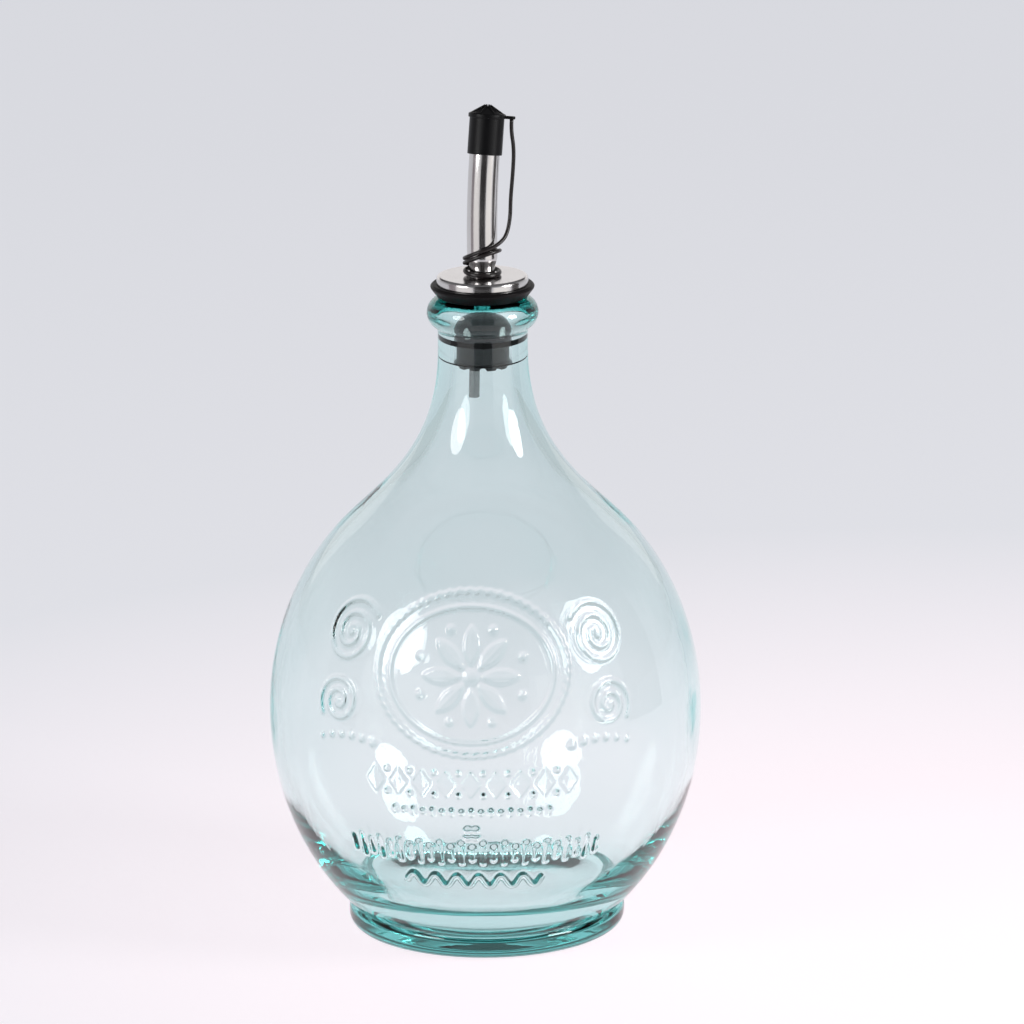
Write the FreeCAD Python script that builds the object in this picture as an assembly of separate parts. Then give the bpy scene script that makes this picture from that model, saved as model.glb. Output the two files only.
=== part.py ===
import FreeCAD, Part

import math
import os

# A round glass oil bottle with a pourer: a rubber stopper carries a pressed steel disc and a
# bent steel spout, an air tube runs down inside the spout, and a soft black dust cap hangs on
# a strap that is wound round the spout and ends in a ring at its foot.
# Millimetres, +Z up. The origin is the centre of the foot, on the surface that it stands on.

os.makedirs("parts", exist_ok=True)

Vec = FreeCAD.Vector
ORIGIN = Vec(0, 0, 0)
UP = Vec(0, 0, 1)

# ---- Glass: foot, belly, shoulder, neck and lip --------------------------------------------
FOOT_RADIUS = 46.2
FOOT_LOWER_ROUND = 4.0
FOOT_SIDE = 1.8              # upright part of the foot, between its two rounds
FOOT_UPPER_ROUND = 2.5
BEARING_WIDTH = 5.0          # flat ring that the bottle stands on
PUNT_HEIGHT = 2.0            # hollow under the foot, at its middle

BELLY_RADIUS = 72.1
BELLY_HALF_HEIGHT = 84.9
BELLY_SINK = 10.6            # the belly's ellipse would reach this far below the foot
SHOULDER_ANGLE = 50.4        # the ellipse ends this far above its widest place
SHOULDER_RISE = 57.3         # from there up to the straight neck
SHOULDER_HANDLE = 17.3       # how long the shoulder's curve keeps the belly's slope
NECK_HANDLE = 31.1           # and how long it keeps upright below the neck
BORE_RADIUS = 9.6
NECK_WALL = 5.3
NECK_LENGTH = 13.2           # from the shoulder's end to the middle of the lip
UNDER_LIP_ROUND = 3.0
LIP_OVERHANG = 3.6           # the lip stands out from the neck
MOUTH_OVERLAP = 1.8          # the lip's round section would reach this far into the bore

WALL = 3.6                   # glass at the widest place
BASE_OVER_FOOT = 1.2         # the cavity's floor lies this far above the foot's top
FLOOR_HANDLE = 34.0          # how far out the cavity's floor keeps level
HEEL_INSET = 19.0            # the cavity's heel, in from its widest place
HEEL_RISE = 12.0             # and up from its floor
HEEL_LEAN = 40.0             # the wall leans this far from upright there
HEEL_FLOOR_HANDLE = 8.0      # how long it keeps that lean, down to the floor
HEEL_SIDE_HANDLE = 14.0      # and up the side
SIDE_HANDLE = 30.0           # how long the side keeps upright below its widest place

# ---- Raised ornament on the belly's front: a medallion, scrolls and a row of lozenges ---------
RELIEF = 0.8                 # it stands out from the glass by this much
ORNAMENT_TURN = -4.0         # its middle, turned from the front towards -X
MEDAL_RISE = 29.7            # middle of the medallion, above the belly's widest place
MEDAL_HALF_WIDTH = 31.0
MEDAL_HALF_HEIGHT = 25.5
MEDAL_RIM = 1.6
MEDAL_LINE = 1.0             # thinner oval inside the rim
MEDAL_LINE_INSET = 3.8
BOSS_RADIUS = 2.6
PETALS = 8
PETAL_ROOT = 3.6             # from the medallion's middle
PETAL_LENGTH = 12.4
PETAL_WIDTH = 5.0
SCROLL_TURN = 39.0           # from the medallion's middle to the scrolls beside it
SCROLL_WIDTH = 1.1
SCROLLS = ((39.7, 10.5, 2.3, 1), (17.7, 8.5, 2.0, -1))   # rise, radius, turns, way
SCROLL_EYE = 0.12            # a scroll starts at this share of its radius
LOZENGES = 9
LOZENGE_RISE = -5.7
LOZENGE_STEP = 6.5
LOZENGE_HALF_WIDTH = 3.4
LOZENGE_HALF_HEIGHT = 4.8

# ---- Stopper --------------------------------------------------------------------------------
SEAT_GAP = 0.05              # under the flange, and again under the steel disc
FIN_GAP = 0.1                # round each fin, inside the bore
UPPER_PLUG_GAP = 0.4
LOWER_PLUG_GAP = 0.9
PLUG_END_GAP = 1.5
FLANGE_MARGIN = 2.0          # the flange stands out round the disc
FLANGE_TAPER = 2.3
FLANGE_HEIGHT = 4.3
FLANGE_EDGE = 0.9            # bevel round the flange's upper edge
HEAD_GAP = 0.12              # between the stopper's head and the steel disc over it
PLUG_LENGTH = 23.4           # below the flange
UPPER_FIN_DROP = 13.2        # top of the thick fin, below the flange
UPPER_FIN_THICKNESS = 2.3
LOWER_FIN_RISE = 1.6         # underside of the thin fin, above the plug's end
LOWER_FIN_THICKNESS = 0.6
SCALLOPS = 10
SCALLOP_RADIUS = 1.1

# ---- Steel disc, spout and air tube ---------------------------------------------------------
DISC_RADIUS = 15.2
DISC_HEIGHT = 2.75
DISC_SHEET = 0.6
DISC_ROUND = 1.3
STEM_RADIUS = 5.0            # the spout inside the stopper
STEM_GAP = 0.05
STEM_RECESS = 2.4            # the stem ends this far above the plug's end
SPOUT_RADIUS = 5.05
SPOUT_WALL = 0.35
THROAT_DEPTH = 0.8           # rolled groove above the disc, where the ring sits
THROAT_HEIGHT = 3.3
THROAT_FLARE = 2.2
STRAIGHT_RISE = 12.3         # from the disc's top to where the bend starts
BEND_RADIUS = 151.5
BEND_ANGLE = 10.5
BEND_HEADING = 66.0          # the spout leans this way, turned from +X towards +Y
TIP_LENGTH = 11.2            # straight end of the spout, past the bend

VENT_RADIUS = 1.75
VENT_WALL = 0.35
VENT_GAP = 0.05              # between the air tube and the throat's inside, towards -X
VENT_LEAN = 0.9              # its lower end stands further out by this much
VENT_DROP = 10.6             # its lower end hangs this far below the plug
VENT_RECESS = 1.6            # its upper end stops this far inside the spout's mouth

# ---- Dust cap -------------------------------------------------------------------------------
CAP_START = 0.3              # the cap's open edge, above the end of the bend
CAP_GAP = 0.08
CAP_WALL = 0.62
CAP_END_GAP = 0.3            # between the spout's mouth and the cap's end
CAP_END_WALL = 2.2           # closed end, up to the rim's top
COLLAR_STEP = 0.45           # the cap's upper rim stands proud of its side
COLLAR_HEIGHT = 1.3
CONE_HEIGHT = 2.5
CONE_TIP_RADIUS = 0.9
RIBS = 8
RIB_WIDTH = 0.9
RIB_RISE = 0.6
LUG_LENGTH = 1.9             # from the rim to the middle of the lug's round end
LUG_WIDTH = 2.4
LUG_THICKNESS = 1.0

# ---- Strap and ring -------------------------------------------------------------------------
STRAP_DIAMETER = 1.3
WRAP_GAP = 0.14              # between the winding and the spout
WRAP_STEP = 30.0             # the winding's route turns this much at each corner
WRAP_STEPS = 17
WRAP_START = -60.0           # it winds clockwise from here, seen from above
WRAP_LEVEL = 8.2             # its mean height above the disc, before it sinks
WRAP_LEAN = 2.35             # it is higher by this much at its high side
WRAP_HIGH_SIDE = -42.0
WRAP_PITCH = 1.6             # it sinks by this much in each turn
FIRST_HANG = 3.4             # the strap leaves the lug straight for this far
ARC_SHARE = 0.45             # each bend of a route takes this share of its shorter run

RING_THICKNESS = 1.5
RING_SLACK = 0.65            # between the ring and the throat
RING_GAP = 0.1               # between the ring's low side and the disc
RING_LEAN = 0.35
RING_HIGH_SIDE = 140.0
KNOB_RADIUS = 1.15
KNOB_LENGTH = 1.1            # from the ring's bar to the strap's end
KNOB_SLEEVE = 0.7            # and this much of the strap lies in it
KNOB_ANGLE = 108.0           # where the strap grows from the ring

# ---- Levels and places that follow from the sizes above -------------------------------------
FOOT_HEIGHT = FOOT_LOWER_ROUND + FOOT_SIDE + FOOT_UPPER_ROUND
BELLY_LEVEL = BELLY_HALF_HEIGHT - BELLY_SINK
SHOULDER_LEVEL = BELLY_LEVEL + BELLY_HALF_HEIGHT * math.sin(math.radians(SHOULDER_ANGLE))
NECK_LEVEL = SHOULDER_LEVEL + SHOULDER_RISE
NECK_RADIUS = BORE_RADIUS + NECK_WALL
LIP_LEVEL = NECK_LEVEL + NECK_LENGTH
LIP_RADIUS = NECK_RADIUS + LIP_OVERHANG
LIP_ROUND = (LIP_RADIUS - BORE_RADIUS + MOUTH_OVERLAP) / 2
LIP_TOP = LIP_LEVEL + LIP_ROUND

FLANGE_LEVEL = LIP_TOP + SEAT_GAP
FLANGE_TOP = FLANGE_LEVEL + FLANGE_HEIGHT
FLANGE_RADIUS = DISC_RADIUS + FLANGE_MARGIN
PLUG_END = FLANGE_LEVEL - PLUG_LENGTH
DISC_TOP = FLANGE_TOP + SEAT_GAP + DISC_HEIGHT
DISC_INSIDE = DISC_TOP - DISC_SHEET

STEM_END = PLUG_END + STEM_RECESS
SPOUT_BORE = SPOUT_RADIUS - SPOUT_WALL
THROAT_RADIUS = SPOUT_RADIUS - THROAT_DEPTH
THROAT_BORE = THROAT_RADIUS - SPOUT_WALL
BEND_START = DISC_TOP + STRAIGHT_RISE
VENT_OFFSET = THROAT_BORE - VENT_GAP - VENT_RADIUS

CAP_BORE = SPOUT_RADIUS + CAP_GAP
CAP_RADIUS = CAP_BORE + CAP_WALL
CAP_LEVEL = BEND_START + CAP_START
CAP_END = BEND_START + TIP_LENGTH + CAP_END_GAP
COLLAR_RADIUS = CAP_RADIUS + COLLAR_STEP
COLLAR_TOP = CAP_END + CAP_END_WALL
COLLAR_LEVEL = COLLAR_TOP - COLLAR_HEIGHT
LUG_REACH = COLLAR_RADIUS + LUG_LENGTH

STRAP_RADIUS = STRAP_DIAMETER / 2
WRAP_RADIUS = (SPOUT_RADIUS + WRAP_GAP + STRAP_RADIUS) / math.cos(math.radians(WRAP_STEP / 2))
RING_RADIUS = THROAT_RADIUS + RING_SLACK + RING_THICKNESS / 2
RING_LEVEL = DISC_TOP + RING_GAP + RING_THICKNESS / 2 + RING_LEAN

# The bend turns everything above BEND_START about a level axis beside the spout.
LEAN_TO = Vec(math.cos(math.radians(BEND_HEADING)), math.sin(math.radians(BEND_HEADING)), 0)
BEND_AXIS = UP.cross(LEAN_TO)
BEND_CENTRE = LEAN_TO * BEND_RADIUS + UP * BEND_START


# ---- Small helpers --------------------------------------------------------------------------
def at(radius, level):
    """A point of a turned piece's section."""
    return Vec(radius, 0, level)


def around(radius, angle, level):
    """A point at an angle from +X, in degrees, round the bottle's axis."""
    return Vec(radius * math.cos(math.radians(angle)), radius * math.sin(math.radians(angle)), level)


def line(start, end):
    return Part.LineSegment(start, end).toShape()


def curve(*poles):
    bezier = Part.BezierCurve()
    bezier.setPoles(list(poles))
    return bezier.toShape()


def round_corner(centre, radius, start, end):
    """An arc of the section between two angles, in degrees up from straight out."""
    points = [
        centre + at(radius * math.cos(math.radians(a)), radius * math.sin(math.radians(a)))
        for a in (start, (start + end) / 2, end)
    ]
    return Part.Arc(*points).toShape()


def ellipse_point(half_width, half_height, angle):
    angle = math.radians(angle)
    return at(half_width * math.cos(angle), BELLY_LEVEL + half_height * math.sin(angle))


def ellipse_arc(half_width, half_height, start, end):
    """An exact arc of the belly's ellipse, between two angles up from its widest place."""
    half = math.radians(end - start) / 2
    middle = math.radians(start + end) / 2
    pole = at(
        half_width * math.cos(middle) / math.cos(half),
        BELLY_LEVEL + half_height * math.sin(middle) / math.cos(half),
    )
    bezier = Part.BezierCurve()
    bezier.setPoles(
        [ellipse_point(half_width, half_height, start), pole, ellipse_point(half_width, half_height, end)]
    )
    bezier.setWeight(2, math.cos(half))
    return bezier.toShape()


def shoulder(half_width, half_height, neck_radius):
    """The curve from the top of the belly's ellipse to the straight neck."""
    start = ellipse_point(half_width, half_height, SHOULDER_ANGLE)
    angle = math.radians(SHOULDER_ANGLE)
    slope = at(-half_width * math.sin(angle), half_height * math.cos(angle)).normalize()
    end = at(neck_radius, NECK_LEVEL)
    return curve(start, start + slope * SHOULDER_HANDLE, end - UP * NECK_HANDLE, end)


def turned(edges):
    """A solid of revolution about the bottle's axis, from its closed section."""
    return Part.Face(Part.Wire(edges)).revolve(ORIGIN, UP, 360)


def polygon(*points):
    """The straight edges of a closed section."""
    return [line(a, b) for a, b in zip(points, points[1:] + points[:1])]


def swept(path, radius):
    """A round bar along a path that starts straight."""
    start = path.Edges[0].valueAt(path.Edges[0].FirstParameter)
    heading = path.Edges[0].tangentAt(path.Edges[0].FirstParameter)
    circle = Part.Wire(Part.Circle(start, heading, radius).toShape())
    return path.makePipeShell([circle], True, False)


def rounded_path(points):
    """Straight runs joined by tangent arcs, and the radius of each arc."""
    edges = []
    radii = []
    last = points[0]
    for before, corner, after in zip(points, points[1:], points[2:]):
        back = (before - corner).normalize()
        on = (after - corner).normalize()
        turn = math.pi - back.getAngle(on)
        cut = ARC_SHARE * min((before - corner).Length, (after - corner).Length)
        radius = cut / math.tan(turn / 2)
        centre_way = (back + on).normalize()
        middle = corner + centre_way * (radius / math.cos(turn / 2) - radius)
        edges.append(line(last, corner + back * cut))
        edges.append(Part.Arc(corner + back * cut, middle, corner + on * cut).toShape())
        radii.append(radius)
        last = corner + on * cut
    edges.append(line(last, points[-1]))
    return Part.Wire(edges), radii


def bent(shape, share=1.0):
    """A shape that was made upright, turned with the spout's bend or a share of it."""
    copy = shape.copy()
    copy.rotate(BEND_CENTRE, BEND_AXIS, BEND_ANGLE * share)
    return copy


def bent_point(point, share=1.0):
    turn = FreeCAD.Rotation(BEND_AXIS, BEND_ANGLE * share)
    return BEND_CENTRE + turn.multVec(point - BEND_CENTRE)


def bend_path(offset, length):
    """The bend and the straight tip, for what runs at an offset from the spout's axis."""
    foot = offset + UP * BEND_START
    arc = Part.Arc(foot, bent_point(foot, 0.5), bent_point(foot)).toShape()
    return [arc, line(bent_point(foot), bent_point(foot + UP * length))]


# ---- The pieces -----------------------------------------------------------------------------
def face_on(across, rise):
    """A point of the ornament's drawing, which lies upright behind the belly's front."""
    return Vec(across, 0, BELLY_LEVEL + rise)


def oval(half_width, half_height):
    edge = Part.Ellipse(face_on(0, MEDAL_RISE), max(half_width, half_height), min(half_width, half_height))
    edge.Axis = Vec(0, -1, 0)
    edge.XAxis = Vec(1, 0, 0) if half_width > half_height else UP
    return Part.Face(Part.Wire(edge.toShape()))


def petal(angle):
    """A pointed petal between two arcs, growing out from the medallion's middle."""
    along = Vec(math.cos(math.radians(angle)), 0, math.sin(math.radians(angle)))
    aside = Vec(-along.z, 0, along.x) * (PETAL_WIDTH / 2)
    root = face_on(0, MEDAL_RISE) + along * PETAL_ROOT
    middle = root + along * (PETAL_LENGTH / 2)
    tip = root + along * PETAL_LENGTH
    sides = [Part.Arc(root, middle + aside, tip), Part.Arc(tip, middle - aside, root)]
    return Part.Face(Part.Wire([side.toShape() for side in sides]))


def scroll(side, rise, radius, turns, way):
    """A spiral band that opens from its eye, on one side of the medallion."""
    steps = math.ceil(12 * turns)
    edges = []
    ends = []
    for offset in (SCROLL_WIDTH / 2, -SCROLL_WIDTH / 2):
        points = []
        for i in range(steps + 1):
            share = i / steps
            angle = way * math.pi * (0.2 + 2 * turns * share)
            reach = radius * (SCROLL_EYE + (1 - SCROLL_EYE) * share) + offset
            points.append(face_on(side * reach * math.cos(angle), rise + reach * math.sin(angle)))
        band_edge = Part.BSplineCurve()
        band_edge.interpolate(points)
        edges.append(band_edge.toShape())
        ends.append((points[0], points[-1]))
    edges.insert(1, line(ends[0][1], ends[1][1]))
    edges.append(line(ends[1][0], ends[0][0]))
    return Part.Face(Part.Wire(edges))


def ornament():
    """The raised parts, each cut from a skin over the belly by its own outline."""
    skin = turned(
        [
            ellipse_arc(BELLY_RADIUS + RELIEF, BELLY_HALF_HEIGHT + RELIEF, -15, 45),
            line(
                ellipse_point(BELLY_RADIUS + RELIEF, BELLY_HALF_HEIGHT + RELIEF, 45),
                ellipse_point(BELLY_RADIUS - RELIEF, BELLY_HALF_HEIGHT - RELIEF, 45),
            ),
            ellipse_arc(BELLY_RADIUS - RELIEF, BELLY_HALF_HEIGHT - RELIEF, -15, 45),
            line(
                ellipse_point(BELLY_RADIUS - RELIEF, BELLY_HALF_HEIGHT - RELIEF, -15),
                ellipse_point(BELLY_RADIUS + RELIEF, BELLY_HALF_HEIGHT + RELIEF, -15),
            ),
        ]
    )
    half_rim = MEDAL_RIM / 2
    rim = oval(MEDAL_HALF_WIDTH + half_rim, MEDAL_HALF_HEIGHT + half_rim).cut(
        oval(MEDAL_HALF_WIDTH - half_rim, MEDAL_HALF_HEIGHT - half_rim)
    )
    inset = MEDAL_LINE_INSET
    thin = oval(MEDAL_HALF_WIDTH - inset, MEDAL_HALF_HEIGHT - inset).cut(
        oval(MEDAL_HALF_WIDTH - inset - MEDAL_LINE, MEDAL_HALF_HEIGHT - inset - MEDAL_LINE)
    )
    outlines = [(rim, 0), (thin, 0), (oval(BOSS_RADIUS, BOSS_RADIUS), 0)]
    outlines += [(petal(360 * i / PETALS), 0) for i in range(PETALS)]
    for side in (-1, 1):
        outlines += [(scroll(side, *sizes), side * SCROLL_TURN) for sizes in SCROLLS]
    lozenge = Part.Face(
        Part.Wire(
            polygon(
                face_on(-LOZENGE_HALF_WIDTH, LOZENGE_RISE),
                face_on(0, LOZENGE_RISE + LOZENGE_HALF_HEIGHT),
                face_on(LOZENGE_HALF_WIDTH, LOZENGE_RISE),
                face_on(0, LOZENGE_RISE - LOZENGE_HALF_HEIGHT),
            )
        )
    )
    outlines += [(lozenge, LOZENGE_STEP * (i - (LOZENGES - 1) / 2)) for i in range(LOZENGES)]
    raised = []
    for outline, turn in outlines:
        column = outline.extrude(Vec(0, -BELLY_RADIUS - 2 * RELIEF, 0))
        column.rotate(ORIGIN, UP, ORNAMENT_TURN + turn)
        raised.append(column.common(skin))
    return raised


def glass_bottle():
    """Thick moulded glass: a foot ring fused to the blown body with its rounded lip."""
    low_angle = math.degrees(math.asin((FOOT_LOWER_ROUND - BELLY_LEVEL) / BELLY_HALF_HEIGHT))
    low = ellipse_point(BELLY_RADIUS, BELLY_HALF_HEIGHT, low_angle)
    lip_centre = at(LIP_RADIUS - LIP_ROUND, LIP_LEVEL)
    # The round under the lip touches the neck and the lip's own round section.
    reach = NECK_RADIUS + UNDER_LIP_ROUND - lip_centre.x
    drop = math.sqrt((LIP_ROUND + UNDER_LIP_ROUND) ** 2 - reach**2)
    under_centre = at(NECK_RADIUS + UNDER_LIP_ROUND, LIP_LEVEL - drop)
    meeting = math.degrees(math.atan2(drop, -reach))
    mouth_angle = 180 - math.degrees(math.acos((lip_centre.x - BORE_RADIUS) / LIP_ROUND))
    mouth = LIP_LEVEL + LIP_ROUND * math.sin(math.radians(mouth_angle))
    inner_radius = BELLY_RADIUS - WALL
    inner_half_height = BELLY_HALF_HEIGHT - WALL
    # The cavity's side leans in to the heel, which turns into the floor.
    floor = FOOT_HEIGHT + BASE_OVER_FOOT
    heel = at(inner_radius - HEEL_INSET, floor + HEEL_RISE)
    lean = math.radians(HEEL_LEAN)
    up_the_side = at(math.sin(lean), math.cos(lean))
    body = turned(
        [
            line(at(0, low.z), low),
            ellipse_arc(BELLY_RADIUS, BELLY_HALF_HEIGHT, low_angle, SHOULDER_ANGLE),
            shoulder(BELLY_RADIUS, BELLY_HALF_HEIGHT, NECK_RADIUS),
            line(at(NECK_RADIUS, NECK_LEVEL), at(NECK_RADIUS, under_centre.z)),
            round_corner(under_centre, UNDER_LIP_ROUND, 180, meeting),
            round_corner(lip_centre, LIP_ROUND, meeting - 180, mouth_angle),
            line(at(BORE_RADIUS, mouth), at(BORE_RADIUS, NECK_LEVEL)),
            shoulder(inner_radius, inner_half_height, BORE_RADIUS),
            ellipse_arc(inner_radius, inner_half_height, 0, SHOULDER_ANGLE),
            curve(
                at(inner_radius, BELLY_LEVEL),
                at(inner_radius, BELLY_LEVEL - SIDE_HANDLE),
                heel + up_the_side * HEEL_SIDE_HANDLE,
                heel,
            ),
            curve(heel, heel - up_the_side * HEEL_FLOOR_HANDLE, at(FLOOR_HANDLE, floor), at(0, floor)),
            line(at(0, floor), at(0, low.z)),
        ]
    )
    bearing_inner = FOOT_RADIUS - FOOT_LOWER_ROUND - BEARING_WIDTH
    punt_radius = (bearing_inner**2 + PUNT_HEIGHT**2) / (2 * PUNT_HEIGHT)
    punt_reach = math.degrees(math.asin(bearing_inner / punt_radius))
    foot = turned(
        [
            line(at(0, FOOT_HEIGHT), at(0, PUNT_HEIGHT)),
            round_corner(at(0, PUNT_HEIGHT - punt_radius), punt_radius, 90, 90 - punt_reach),
            line(at(bearing_inner, 0), at(FOOT_RADIUS - FOOT_LOWER_ROUND, 0)),
            round_corner(at(FOOT_RADIUS - FOOT_LOWER_ROUND, FOOT_LOWER_ROUND), FOOT_LOWER_ROUND, -90, 0),
            line(at(FOOT_RADIUS, FOOT_LOWER_ROUND), at(FOOT_RADIUS, FOOT_HEIGHT - FOOT_UPPER_ROUND)),
            round_corner(
                at(FOOT_RADIUS - FOOT_UPPER_ROUND, FOOT_HEIGHT - FOOT_UPPER_ROUND), FOOT_UPPER_ROUND, 0, 90
            ),
            line(at(FOOT_RADIUS - FOOT_UPPER_ROUND, FOOT_HEIGHT), at(0, FOOT_HEIGHT)),
        ]
    )
    return body.fuse([foot] + ornament()).removeSplitter()


def stopper():
    """Black rubber: a flange on the lip, a head under the disc, and a finned, scalloped plug."""
    fin_radius = BORE_RADIUS - FIN_GAP
    hole = STEM_RADIUS + STEM_GAP
    head_radius = DISC_RADIUS - DISC_SHEET - HEAD_GAP
    head_top = DISC_INSIDE - HEAD_GAP
    upper_fin = FLANGE_LEVEL - UPPER_FIN_DROP
    lower_fin = PLUG_END + LOWER_FIN_RISE
    plug = turned(
        polygon(
            at(hole, PLUG_END),
            at(BORE_RADIUS - PLUG_END_GAP, PLUG_END),
            at(BORE_RADIUS - PLUG_END_GAP, lower_fin),
            at(fin_radius, lower_fin),
            at(fin_radius, lower_fin + LOWER_FIN_THICKNESS),
            at(BORE_RADIUS - LOWER_PLUG_GAP, lower_fin + LOWER_FIN_THICKNESS),
            at(BORE_RADIUS - LOWER_PLUG_GAP, upper_fin - UPPER_FIN_THICKNESS),
            at(fin_radius, upper_fin - UPPER_FIN_THICKNESS),
            at(fin_radius, upper_fin),
            at(BORE_RADIUS - UPPER_PLUG_GAP, upper_fin),
            at(BORE_RADIUS - UPPER_PLUG_GAP, FLANGE_LEVEL),
            at(FLANGE_RADIUS - FLANGE_TAPER, FLANGE_LEVEL),
            at(FLANGE_RADIUS, FLANGE_TOP - FLANGE_EDGE),
            at(FLANGE_RADIUS - FLANGE_EDGE, FLANGE_TOP),
            at(head_radius, FLANGE_TOP),
            at(head_radius, head_top - DISC_ROUND),
            at(head_radius - DISC_ROUND, head_top),
            at(hole, head_top),
        )
    )
    for i in range(SCALLOPS):
        angle = 360 * (i + 0.5) / SCALLOPS
        notch = Part.makeCylinder(SCALLOP_RADIUS, BORE_RADIUS, at(0, PLUG_END), around(1, angle, 0))
        plug = plug.cut(notch)
    return plug


def collar_disc():
    """A shallow cup pressed from steel sheet, brazed to the spout and closed over the head."""
    rim = DISC_TOP - DISC_HEIGHT
    inner_round = DISC_ROUND - DISC_SHEET
    corner = at(DISC_RADIUS - DISC_ROUND, DISC_TOP - DISC_ROUND)
    return turned(
        [
            line(at(THROAT_RADIUS, DISC_INSIDE), at(corner.x, DISC_INSIDE)),
            round_corner(corner, inner_round, 90, 0),
            line(at(DISC_RADIUS - DISC_SHEET, corner.z), at(DISC_RADIUS - DISC_SHEET, rim)),
            line(at(DISC_RADIUS - DISC_SHEET, rim), at(DISC_RADIUS, rim)),
            line(at(DISC_RADIUS, rim), at(DISC_RADIUS, corner.z)),
            round_corner(corner, DISC_ROUND, 0, 90),
            line(at(corner.x, DISC_TOP), at(THROAT_RADIUS, DISC_TOP)),
            line(at(THROAT_RADIUS, DISC_TOP), at(THROAT_RADIUS, DISC_INSIDE)),
        ]
    )


def spout_tube():
    """Drawn steel tube: a stem in the stopper, a rolled throat, then a gently bent spout."""
    throat_top = DISC_TOP + THROAT_HEIGHT
    flare_top = throat_top + THROAT_FLARE
    stem_bore = STEM_RADIUS - SPOUT_WALL
    foot = turned(
        polygon(
            at(stem_bore, STEM_END),
            at(STEM_RADIUS, STEM_END),
            at(STEM_RADIUS, DISC_INSIDE),
            at(THROAT_RADIUS, DISC_INSIDE),
            at(THROAT_RADIUS, throat_top),
            at(SPOUT_RADIUS, flare_top),
            at(SPOUT_RADIUS, BEND_START),
            at(SPOUT_BORE, BEND_START),
            at(SPOUT_BORE, flare_top),
            at(THROAT_BORE, throat_top),
            at(THROAT_BORE, DISC_INSIDE - SPOUT_WALL),
            at(stem_bore, DISC_INSIDE - SPOUT_WALL),
        )
    )
    path = Part.Wire(bend_path(ORIGIN, TIP_LENGTH))
    upper = swept(path, SPOUT_RADIUS).cut(swept(path, SPOUT_BORE))
    return foot.fuse(upper).removeSplitter()


def vent_tube():
    """Thin steel tube that lets air down past the oil, lying along the inside of the spout."""
    foot = at(-VENT_OFFSET - VENT_LEAN, PLUG_END - VENT_DROP)
    throat = at(-VENT_OFFSET, DISC_INSIDE)
    top = at(-VENT_OFFSET, BEND_START)
    cut = ARC_SHARE * (top - throat).Length
    back = (foot - throat).normalize()
    turn = math.pi - back.getAngle(UP)
    radius = cut / math.tan(turn / 2)
    middle = throat + (back + UP).normalize() * (radius / math.cos(turn / 2) - radius)
    below = throat + back * cut
    above = throat + UP * cut
    path = Part.Wire(
        [line(foot, below), Part.Arc(below, middle, above).toShape(), line(above, top)]
        + bend_path(at(-VENT_OFFSET, 0), TIP_LENGTH - VENT_RECESS)
    )
    return swept(path, VENT_RADIUS).cut(swept(path, VENT_RADIUS - VENT_WALL))


def dust_cap():
    """Soft black moulding: a sleeve on the spout's tip, a ribbed cone on top and a side lug."""
    cone_top = COLLAR_TOP + CONE_HEIGHT
    cap = turned(
        polygon(
            at(CAP_BORE, CAP_LEVEL),
            at(CAP_RADIUS, CAP_LEVEL),
            at(CAP_RADIUS, COLLAR_LEVEL),
            at(COLLAR_RADIUS, COLLAR_LEVEL),
            at(COLLAR_RADIUS, COLLAR_TOP),
            at(CONE_TIP_RADIUS, cone_top),
            at(0, cone_top),
            at(0, CAP_END),
            at(CAP_BORE, CAP_END),
        )
    )
    rib_section = polygon(
        at(0, COLLAR_TOP),
        at(COLLAR_RADIUS, COLLAR_TOP),
        at(CONE_TIP_RADIUS, cone_top + RIB_RISE),
        at(0, cone_top + RIB_RISE),
    )
    rib = Part.Face(Part.Wire(rib_section)).extrude(Vec(0, RIB_WIDTH, 0))
    rib.translate(Vec(0, -RIB_WIDTH / 2, 0))
    for i in range(RIBS):
        turned_rib = rib.copy()
        turned_rib.rotate(ORIGIN, UP, 360 * (i + 0.5) / RIBS)
        cap = cap.fuse(turned_rib)
    lug_end = Part.makeCylinder(LUG_WIDTH / 2, LUG_THICKNESS, at(LUG_REACH, COLLAR_LEVEL))
    lug_bar = Part.makeBox(
        LUG_REACH - CAP_RADIUS, LUG_WIDTH, LUG_THICKNESS, Vec(CAP_RADIUS, -LUG_WIDTH / 2, COLLAR_LEVEL)
    )
    return bent(cap.fuse(lug_bar).fuse(lug_end).removeSplitter())


def knob_root():
    """The point of the ring's round bar that the strap grows from."""
    lean = RING_LEAN * math.cos(math.radians(KNOB_ANGLE - RING_HIGH_SIDE))
    return around(RING_RADIUS, KNOB_ANGLE, RING_LEVEL + lean)


def strap_points():
    """The strap's route: down beside the spout, round it, and on to the ring's knob."""
    hang = bent_point(at(LUG_REACH, COLLAR_LEVEL))
    down = bent_point(at(LUG_REACH, COLLAR_LEVEL - FIRST_HANG))
    points = [
        hang,
        down,
        Vec(10.75, 3.3, 264.6),
        Vec(10.3, 2.8, 256.4),
        Vec(9.5, 2.2, 248.2),
        Vec(9.35, 1.1, 241.6),
        Vec(8.1, -1.2, 236.3),
        Vec(5.9, -3.7, 234.3),
    ]
    for i in range(WRAP_STEPS + 1):
        angle = WRAP_START - WRAP_STEP * i
        lean = WRAP_LEAN * math.cos(math.radians(angle - WRAP_HIGH_SIDE))
        level = DISC_TOP + WRAP_LEVEL + lean + WRAP_PITCH * angle / 360
        points.append(around(WRAP_RADIUS, angle, level))
    root = knob_root()
    points.append(root + (points[-1] - root).normalize() * KNOB_LENGTH)
    return points


def strap_bar():
    path, _ = rounded_path(strap_points())
    return swept(path, STRAP_RADIUS)


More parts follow.
